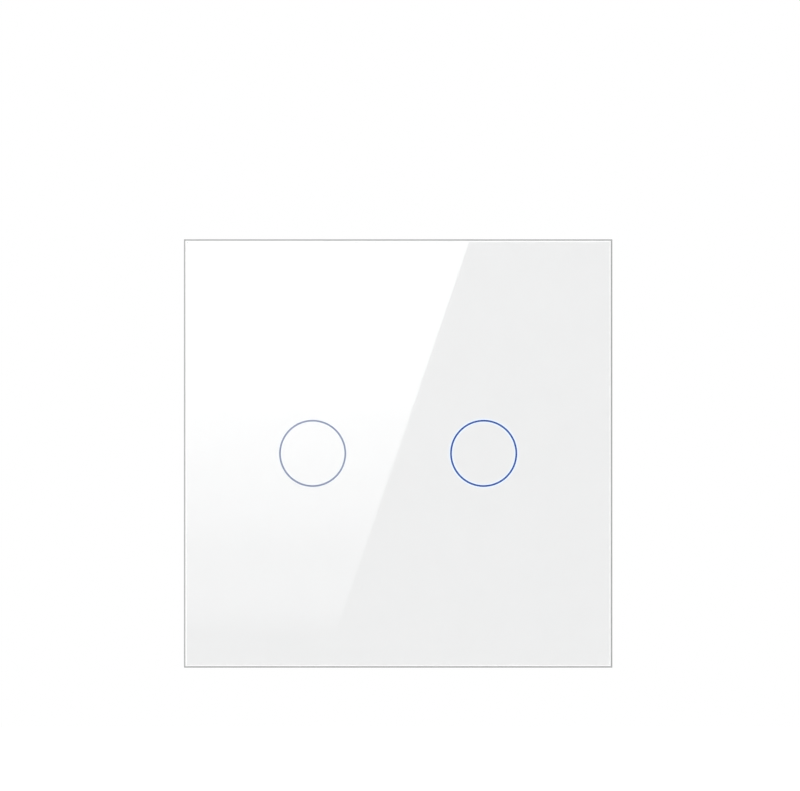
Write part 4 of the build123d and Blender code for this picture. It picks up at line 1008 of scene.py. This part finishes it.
# %% The radio board: black mask, and gilt contacts along both sides
# The mask is glossy black, and a bright gilt half-round stands at its rim for every contact.
RADIO_Z = 3.0
CONTACT_STEP = 1.5
CONTACT_SHARE = 0.3
CONTACTS_FROM = 7.1
CONTACTS_HALF = 7.4
radio_mask, tree, place = start_finish("black_masked_laminate")
apart = add_node(tree, "ShaderNodeSeparateXYZ", {0: place})
step = add_node(tree, "ShaderNodeMath", {0: apart.outputs["Z"], 1: RADIO_Z * MM}, operation="SUBTRACT")
step = add_node(tree, "ShaderNodeMath", {0: step.outputs[0], 1: CONTACT_STEP * MM}, operation="DIVIDE")
step = add_node(tree, "ShaderNodeMath", {0: step.outputs[0]}, operation="FRACT")
near = within(tree, step.outputs[0], 0.5, CONTACT_SHARE)
rim = beyond(tree, apart.outputs["X"], 0.0, CONTACTS_FROM * MM)
row = within(tree, apart.outputs["Z"], RADIO_Z * MM, CONTACTS_HALF * MM)
gilt = add_node(tree, "ShaderNodeMath", {0: near, 1: rim}, operation="MULTIPLY")
gilt = add_node(tree, "ShaderNodeMath", {0: gilt.outputs[0], 1: row}, operation="MULTIPLY")
grain = add_node(tree, "ShaderNodeTexNoise", {"Vector": place, "Scale": 1 / (0.5 * MM), "Detail": 3.0})
black_and_gold = {0: gilt.outputs[0], 6: linear("16181C"), 7: linear("D9B35C")}
tone = add_node(tree, "ShaderNodeMix", black_and_gold, data_type="RGBA")
rough = add_node(tree, "ShaderNodeMapRange", {"Value": grain.outputs[0], "To Min": 0.28, "To Max": 0.42})
end_surface(
    tree,
    {"Base Color": tone.outputs[2], "Metallic": gilt.outputs[0], "Roughness": rough.outputs[0]},
)
print("nodes in the radio mask:", len(tree.nodes))

# %% [markdown]
# ## Dress the CAD pieces
#
# Every CAD piece gets its finish by name. A piece not in the table would keep the plain colour of
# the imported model, so the last line checks that none is left over.

# %% Assign the finishes
finishes = {
    "panel_tape": foam_tape,
    "front_frame": white_abs,
    "touch_board": green_board,
    "touch_spring_left": spring_wire,
    "touch_spring_right": spring_wire,
    "ring_leds_left": lamp_ceramic,
    "ring_leds_right": lamp_ceramic,
    "touch_controller": controller_chip,
    "radio_board": radio_mask,
    "radio_shield": tin_can,
    "touch_board_chips": touch_blocks,
    "plug_header": black_nylon,
    "plug_pins": gold_brass,
    "board_screws": zinc_steel,
    "mounting_plate": box_blend,
    "rear_box": box_blend,
    "case_screws": zinc_steel,
    "power_board": power_green,
    "socket_header": black_nylon,
    "socket_contacts": gold_brass,
    "transformer_core": ferrite,
    "transformer_bobbin": black_nylon,
    "transformer_winding": yellow_tape,
    "transformer_pins": tin_brass,
    "filter_capacitors": can_sleeve,
    "safety_capacitor": film_yellow,
    "varistor": blue_epoxy,
    "fuse": fuse_brown,
    "bridge_rectifier": bridge_epoxy,
    "supply_chip": supply_epoxy,
    "driver_transistors": driver_epoxy,
    "power_board_chips": power_blocks,
    "terminal_housing": clamp_green,
    "terminal_contacts": tin_brass,
}
for side in ("left", "right"):
    finishes[f"relay_case_{side}"] = relay_blue
    finishes[f"relay_base_{side}"] = base_grey
    finishes[f"relay_coil_{side}"] = copper_winding
    finishes[f"relay_yoke_{side}"] = nickel_iron
    finishes[f"relay_armature_{side}"] = nickel_iron
    finishes[f"relay_contacts_{side}"] = tin_brass
for number in range(1, 5):
    finishes[f"terminal_cage_{number}"] = zinc_steel
    finishes[f"terminal_screw_{number}"] = zinc_steel
for name, finish in finishes.items():
    nodes[name].data.materials[0] = finish
made_anew = {"glass_panel", "back_print", "light_ring_left", "light_ring_right"}
print("left over:", sorted(set(nodes) - set(finishes) - made_anew))

# %% [markdown]
# ## Tracks, solder and legend on the boards
#
# The back of the touch board shows when the front is pulled off the wall plate. Copper tracks
# under the mask stand up as fine lighter ridges, each ends in a plated via, the chips sit on
# tinned pads, and a white legend outlines them. A track is drawn as a poly spline with a round
# section, turned to a mesh and pressed flat, so it keeps its width round every bend. Pads are low
# bevelled blocks. Only the lines that such a board would have are drawn, and no lettering.


# %% Draw flat lines on a board
def cut_corners(route, cut):
    """Replaces each inner corner of a route by two points, as a board layout does at 45 degrees."""
    points = [Vector(route[0])]
    for before, corner, after in zip(route, route[1:], route[2:]):
        corner = Vector(corner)
        points.append(corner + (Vector(before) - corner).normalized() * cut)
        points.append(corner + (Vector(after) - corner).normalized() * cut)
    return points + [Vector(route[-1])]


def lay_lines(name, routes, width, high, level, body, slot, finish):
    """Sweeps each route of X and Z in mm to a tube, and presses it flat onto a face at depth level."""
    curve = bpy.data.curves.new(name, "CURVE")
    curve.dimensions = "3D"
    curve.bevel_depth = width / 2 * MM
    curve.bevel_resolution = 1
    curve.use_fill_caps = True
    for route in routes:
        spline = curve.splines.new("POLY")
        spline.use_cyclic_u = route[0] == route[-1]
        points = route[:-1] if spline.use_cyclic_u else route
        spline.points.add(len(points) - 1)
        for point, (x, z) in zip(spline.points, points):
            point.co = (x * MM, 0, z * MM, 1)
    carrier = bpy.data.objects.new(name, curve)
    mesh = bpy.data.meshes.new_from_object(carrier)
    bpy.data.objects.remove(carrier)
    mesh.transform(Matrix.Translation((0, level * MM, 0)) @ Matrix.Diagonal((1, 2 * high / width, 1, 1)))
    shape = bmesh.new()
    shape.from_mesh(mesh)
    bpy.data.meshes.remove(mesh)
    bmesh.ops.recalc_face_normals(shape, faces=shape.faces)
    return make_piece(shape, name, body, slot, finish)


def both_sides(routes):
    """The routes and their mirror images in X."""
    return routes + [[(-x, z) for x, z in route] for route in routes]


print("points of a route with one cut corner:", len(cut_corners([(0, 0), (2, 0), (2, 2)], 0.5)))

# %% Draw low blocks and vias on a board
PAD_BEVEL = 0.6
ROUND_SIDES = 16


def lay_pads(name, spots, high, level, body, slot, finish):
    """A low bevelled block for each spot: centre X and Z, size in X and Z, in mm."""
    shape = bmesh.new()
    for x, z, wide, tall in spots:
        size = Matrix.Diagonal((wide * MM, 2 * high * MM, tall * MM, 1))
        bmesh.ops.create_cube(shape, size=1.0, matrix=Matrix.Translation((x * MM, level * MM, z * MM)) @ size)
    bmesh.ops.bevel(
        shape,
        geom=shape.edges[:],
        offset=high * PAD_BEVEL * MM,
        segments=1,
        profile=0.5,
        affect="EDGES",
        material=-1,
    )
    return make_piece(shape, name, body, slot, finish)


def lay_rounds(name, spots, base, tip, high, level, facing, body, slot, finish):
    """A low cone for each spot of X and Z in mm: radius at its base and tip, and which way it faces."""
    shape = bmesh.new()
    turn = Matrix.Rotation(math.radians(-90 * facing), 4, "X")
    for x, z in spots:
        at = Matrix.Translation((x * MM, (level + facing * high / 2) * MM, z * MM))
        bmesh.ops.create_cone(
            shape,
            cap_ends=True,
            segments=ROUND_SIDES,
            radius1=base * MM,
            radius2=tip * MM,
            depth=high * MM,
            matrix=at @ turn,
        )
    return make_piece(shape, name, body, slot, finish)


print("sides of a via or a solder cone:", ROUND_SIDES)

# %% Say where the lines and blocks lie, and what they are made of
TOUCH_BACK = {"level": -5.4, "body": "front_module"}
RADIO_BACK = {"level": -4.6, "body": "front_module"}
POWER_FRONT = {"level": 2.0, "body": "base"}
# A track is copper under the mask, so it is the board's green, lighter and as glossy.
copper_track = moulded("masked_copper_track", "1B7844", "22864D", 0.3, 0.3, 0.005, 0.02)
COPPER = {"slot": "board", "finish": copper_track}
# Legend ink is a dull white print on top of the mask.
white_legend = moulded("white_legend_ink", "DDE0DC", "E8EAE6", 0.6, 0.3, 0.005, 0.02)
LEGEND = {"slot": "board", "finish": white_legend}
# Solder freezes bright, with a smooth face.
bright_solder = plated("bright_solder", "BFC0C0", "D8D9D9", 0.22)
SOLDER = {"slot": "contact_metal", "finish": bright_solder}
GILT = {"slot": "contact_metal", "finish": gold_brass}
print("materials so far:", len(bpy.data.materials))

# %% Route the chips on the back of the touch board
# A route is a list of X and Z in mm, for the right half; the left one is its mirror image.
CHIP_Z = -14
LEAD_STEP = 0.8
tracks = []
for row in range(4):
    lead_z = CHIP_Z + (row - 1.5) * LEAD_STEP
    chip_z = CHIP_Z + (row - 1.5) * BLOCK_ROW
    bend = 6.0 + abs(chip_z - lead_z)
    tracks.append([(4.9, lead_z), (6.0, lead_z), (bend, chip_z), (9.2, chip_z)])
    tracks.append([(10.8, chip_z), (12.2, chip_z)])
    tracks.append([(13.8, chip_z), (15.2, chip_z)])
# The four rows fan out: one feeds the lamp circle, three run up the side of the board. Each of
# these is given by the X of its upright, the Z of its upper run and the X where that ends.
UPRIGHTS = [(31.6, 24.4, 13.0), (30.2, 22.9, 5.4), (28.8, 21.4, 20.4)]
tracks.append([(16.8, -10.7), (18.2, -10.7), (19.4, -9.5)])
for row, (side_x, top_z, end_x) in enumerate(UPRIGHTS):
    chip_z = CHIP_Z + (row - 1.5) * BLOCK_ROW
    route = [(16.8, chip_z), (side_x, chip_z), (side_x, top_z), (end_x, top_z)]
    tracks.append(cut_corners(route, 6.0))
# The controller reaches the radio board by four nested lines, and the radio the plug by two.
for line in range(4):
    lead_x = 2.8 - LEAD_STEP * line
    rise_x = 11.0 - 0.55 * line
    run_z = -8.9 + 0.45 * line
    pin_z = 0.75 - CONTACT_STEP * line
    route = [(lead_x, -9.3), (lead_x, run_z), (rise_x, run_z), (rise_x, pin_z), (8.9, pin_z)]
    tracks.append(cut_corners(route, 0.3))
for pin_z, rise_x, run_z, plug_x in ((9.75, 10.0, 14.2, 1.27), (8.25, 11.0, 15.2, 3.81)):
    route = [(8.9, pin_z), (rise_x, pin_z), (rise_x, run_z), (plug_x, run_z), (plug_x, 17.2)]
    tracks.append(cut_corners(route, 0.8))
print("routes of the chips:", len(tracks))

# %% Route the lamps, and lay all tracks and vias
# A circle of copper carries the lamps, with a spoke and a via for each.
ring_x = RING_X / MM
CIRCLE = 9.6
SPOKE_FROM = 7.4
LAMPS_ROUND = 8
CIRCLE_SIDES = 48
turns = [math.tau * i / CIRCLE_SIDES for i in range(CIRCLE_SIDES)]
circle = [(ring_x + CIRCLE * math.cos(a), CIRCLE * math.sin(a)) for a in turns]
tracks.append(circle + circle[:1])
vias = [(13.0, 24.4), (20.4, 21.4)]
for spoke in range(LAMPS_ROUND):
    turn = math.tau * (spoke + 0.5) / LAMPS_ROUND
    route = [(ring_x + r * math.cos(turn), r * math.sin(turn)) for r in (SPOKE_FROM, CIRCLE)]
    tracks.append(route)
    vias.append(route[0])
# More vias stitch the copper band along the rim to the other side of the board.
RIM_VIA = 34.7
VIA_STEP = 6.9
vias += [(27.5 - VIA_STEP * i, end * RIM_VIA) for end in (1, -1) for i in range(4)]
vias += [(RIM_VIA, VIA_STEP * (i - 4)) for i in range(9)]
vias += [(-x, z) for x, z in vias]
lay_lines("touch_board_tracks", both_sides(tracks), width=0.36, high=0.03, **TOUCH_BACK, **COPPER)
lay_rounds("touch_board_vias", vias, base=0.42, tip=0.3, high=0.04, facing=1, **TOUCH_BACK, **SOLDER)

# %% Solder the touch board
LEAD_OUT = 4.3
RADIO_PAD_X = 8.35
leads = [(lead - 3.5) * LEAD_STEP for lead in range(8)]
contacts = [RADIO_Z + (pad - 4.5) * CONTACT_STEP for pad in range(10)]
rows = [CHIP_Z + (row - 1.5) * BLOCK_ROW for row in range(4)]
pads = [(side * LEAD_OUT, CHIP_Z + lead, 1.5, 0.5) for side in (-1, 1) for lead in leads]
pads += [(lead, CHIP_Z + side * LEAD_OUT, 0.5, 1.5) for side in (-1, 1) for lead in leads]
pads += [(side * RADIO_PAD_X, z, 1.3, 0.9) for side in (-1, 1) for z in contacts]
for column in (-10, -13, -16, 10, 13, 16):
    pads += [(column + end, z, 0.6, 1.0) for z in rows for end in (-0.85, 0.85)]
lay_pads("touch_board_solder", pads, high=0.05, **TOUCH_BACK, **SOLDER)

# %% Print the legend of the touch board
NICK = 0.8


def outline(x_low, x_high, z_low, z_high):
    """A closed rectangle as a route, with the first corner cut to mark pin 1."""
    corners = [
        (x_low + NICK, z_high),
        (x_high, z_high),
        (x_high, z_low),
        (x_low, z_low),
        (x_low, z_high - NICK),
    ]
    return corners + corners[:1]


legend = [
    outline(-5.6, 5.6, -19.6, -8.4),
    outline(-9.4, 9.4, -7.5, 13.5),
    outline(-5.7, 5.7, 16.2, 22.6),
    outline(8.5, 17.5, -18.6, -9.4),
    outline(-17.5, -8.5, -18.6, -9.4),
]
lay_lines("touch_board_legend", legend, width=0.2, high=0.02, **TOUCH_BACK, **LEGEND)

# %% The aerial on the radio board
# It is one gilt line, folded four times to fit its length on the board.
AERIAL_X = -6.4
FOLD = 2.8
FOLD_LOW, FOLD_HIGH = 8.4, 12.2
aerial = [(AERIAL_X, 6.6), (AERIAL_X, FOLD_HIGH)]
for fold in range(4):
    turn_x = AERIAL_X + FOLD * (fold + 0.5)
    next_x = AERIAL_X + FOLD * (fold + 1)
    aerial += [(turn_x, FOLD_HIGH), (turn_x, FOLD_LOW), (next_x, FOLD_LOW), (next_x, FOLD_HIGH)]
lay_lines("radio_aerial", [aerial], width=0.5, high=0.03, **RADIO_BACK, **GILT)

# %% Front of the power board: mains tracks, signal tracks and solder cones
# Mains tracks are wide for their current, and kept apart from the thin signal tracks.
CLAMP_XS = (11.43, 3.81, -3.81, -11.43)
CLAMP_Z = -14.1
mains = both_sides([cut_corners([(11.43, CLAMP_Z), (11.43, -10.4), (17.2, -8.6), (17.2, -4.6)], 0.9)])
mains += [
    [(3.81, CLAMP_Z), (3.81, -10.2), (13.0, -1.0), (17.2, -1.0)],
    [(3.81, -10.5), (-5.5, -10.5), (-15.0, -1.0), (-17.2, -1.0)],
    [(10.7, 17.2), (9.7, 16.2), (9.7, 12.4)],
    [(9.7, 12.4), (7.1, 9.8), (-5.4, 9.8), (-8.85, 13.2)],
    [(13.7, 17.2), (18.4, 17.2), (21.0, 14.6), (21.0, 11.6)],
]
lay_lines("mains_tracks", mains, width=1.9, high=0.06, **POWER_FRONT, **COPPER)
signals = both_sides([[(2.75, -6.1), (2.75, -4.6), (1.9, -3.8)]])
signals += [
    [(0.0, 4.76), (0.0, 3.2), (0.64, 2.6)],
    [(3.0, 4.76), (5.4, 2.4), (7.3, 2.4)],
    [(-3.0, 4.76), (-4.8, 3.0), (-6.4, 3.0)],
    [(13.8, 8.75), (11.2, 6.2), (10.0, 6.2)],
    [(-13.8, 8.75), (-12.4, 7.4), (-12.4, 3.6), (-11.2, 2.4)],
    [(6.25, -6.1), (8.0, -6.1), (8.0, -2.0)],
]
lay_lines("signal_tracks", signals, width=0.5, high=0.03, **POWER_FRONT, **COPPER)
RELAY_JOINTS = ((13.8, 8.75), (20.6, 8.75), (17.2, -1.0), (17.2, -4.6))
joints = [(x, CLAMP_Z) for x in reversed(CLAMP_XS)]
joints += [(side * x, z) for side in (-1, 1) for x, z in RELAY_JOINTS]
joints += [(-8.85, 13.2), (-18.85, 13.2), (9.7, 12.4), (14.7, 12.4), (10.7, 17.2), (13.7, 17.2)]
joints += [(x, -6.1) for x in (-6.25, -2.75, 2.75, 6.25)]
joints += [(x, z) for x in (-3, 0, 3) for z in (4.76, 14.16)]
lay_rounds("solder_cones", joints, base=1.0, tip=0.4, high=0.8, facing=-1, **POWER_FRONT, **SOLDER)

# %% [markdown]
# ## Marks in the mouldings
#
# Each clamp is marked above its access hole with the plain letters that every such switch has:
# L for the live wire, N for neutral, L1 and L2 for the two lights. The letters are raised in the
# mould and darkened by a laser, so that they can be read. Ejector pins leave shallow discs inside
# the plate, the gate leaves a small scar on the box, and an arrow on the plate shows which way is
# up. The letters are text turned to a mesh.

# %% Raise the letters above the clamp holes
# The laser chars the face of the plastic to a dull grey.
laser_grey = moulded("laser_darkened_polycarbonate", "6C6E6F", "7C7E7F", 0.6, 0.3, 0.01, 0.02)
BOX_BACK = 24.8
LETTER_HIGH = 2.0
LETTER_FOOT = -11.1
LETTER_RAISED = 0.08
CAPITAL_SHARE = 0.7
letters = bmesh.new()
for words, x in zip(("N", "L", "L1", "L2"), CLAMP_XS):
    font = bpy.data.curves.new("letters", "FONT")
    font.body = words
    font.size = LETTER_HIGH / CAPITAL_SHARE * MM
    font.extrude = LETTER_RAISED * MM
    font.align_x = "CENTER"
    carrier = bpy.data.objects.new("letters", font)
    mesh = bpy.data.meshes.new_from_object(carrier)
    bpy.data.objects.remove(carrier)
    facing_back = Matrix((
        (-1, 0, 0, x * MM),
        (0, 0, 1, BOX_BACK * MM),
        (0, 1, 0, LETTER_FOOT * MM),
        (0, 0, 0, 1),
    ))
    mesh.transform(facing_back)
    letters.from_mesh(mesh)
    bpy.data.meshes.remove(mesh)
make_piece(letters, "clamp_letters", "base", "box_plastic", laser_grey)

# %% Ejector marks, gate scar and arrow
BOX_MARK = {"body": "base", "slot": "box_plastic", "finish": box_blend}
PLATE_FRONT = -1.8
PIN_OUT, PIN_IN = 34, 13
pins = [(side * PIN_OUT, level) for side in (-1, 1) for level in (-26, -12, 12, 26)]
pins += [(side * PIN_IN, end * PIN_OUT) for end in (1, -1) for side in (-1, 1)]
lay_rounds("ejector_marks", pins, base=1.6, tip=1.55, high=0.06, level=PLATE_FRONT, facing=-1, **BOX_MARK)
lay_rounds("gate_scar", [(0, -6.5)], base=0.8, tip=0.65, high=0.12, level=BOX_BACK, facing=1, **BOX_MARK)
ARROW_UP = 32
ARROW_BASE, ARROW_TIP = 2.0 * MM, 1.9 * MM
arrow = bmesh.new()
bmesh.ops.create_cone(arrow, cap_ends=True, segments=3, radius1=ARROW_BASE, radius2=ARROW_TIP, depth=0.2 * MM)
bmesh.ops.rotate(arrow, matrix=Matrix.Rotation(math.radians(90), 3, "X"), verts=arrow.verts)
bmesh.ops.translate(arrow, vec=(0, PLATE_FRONT * MM, ARROW_UP * MM), verts=arrow.verts)
make_piece(arrow, "up_arrow", "base", "box_plastic", box_blend)
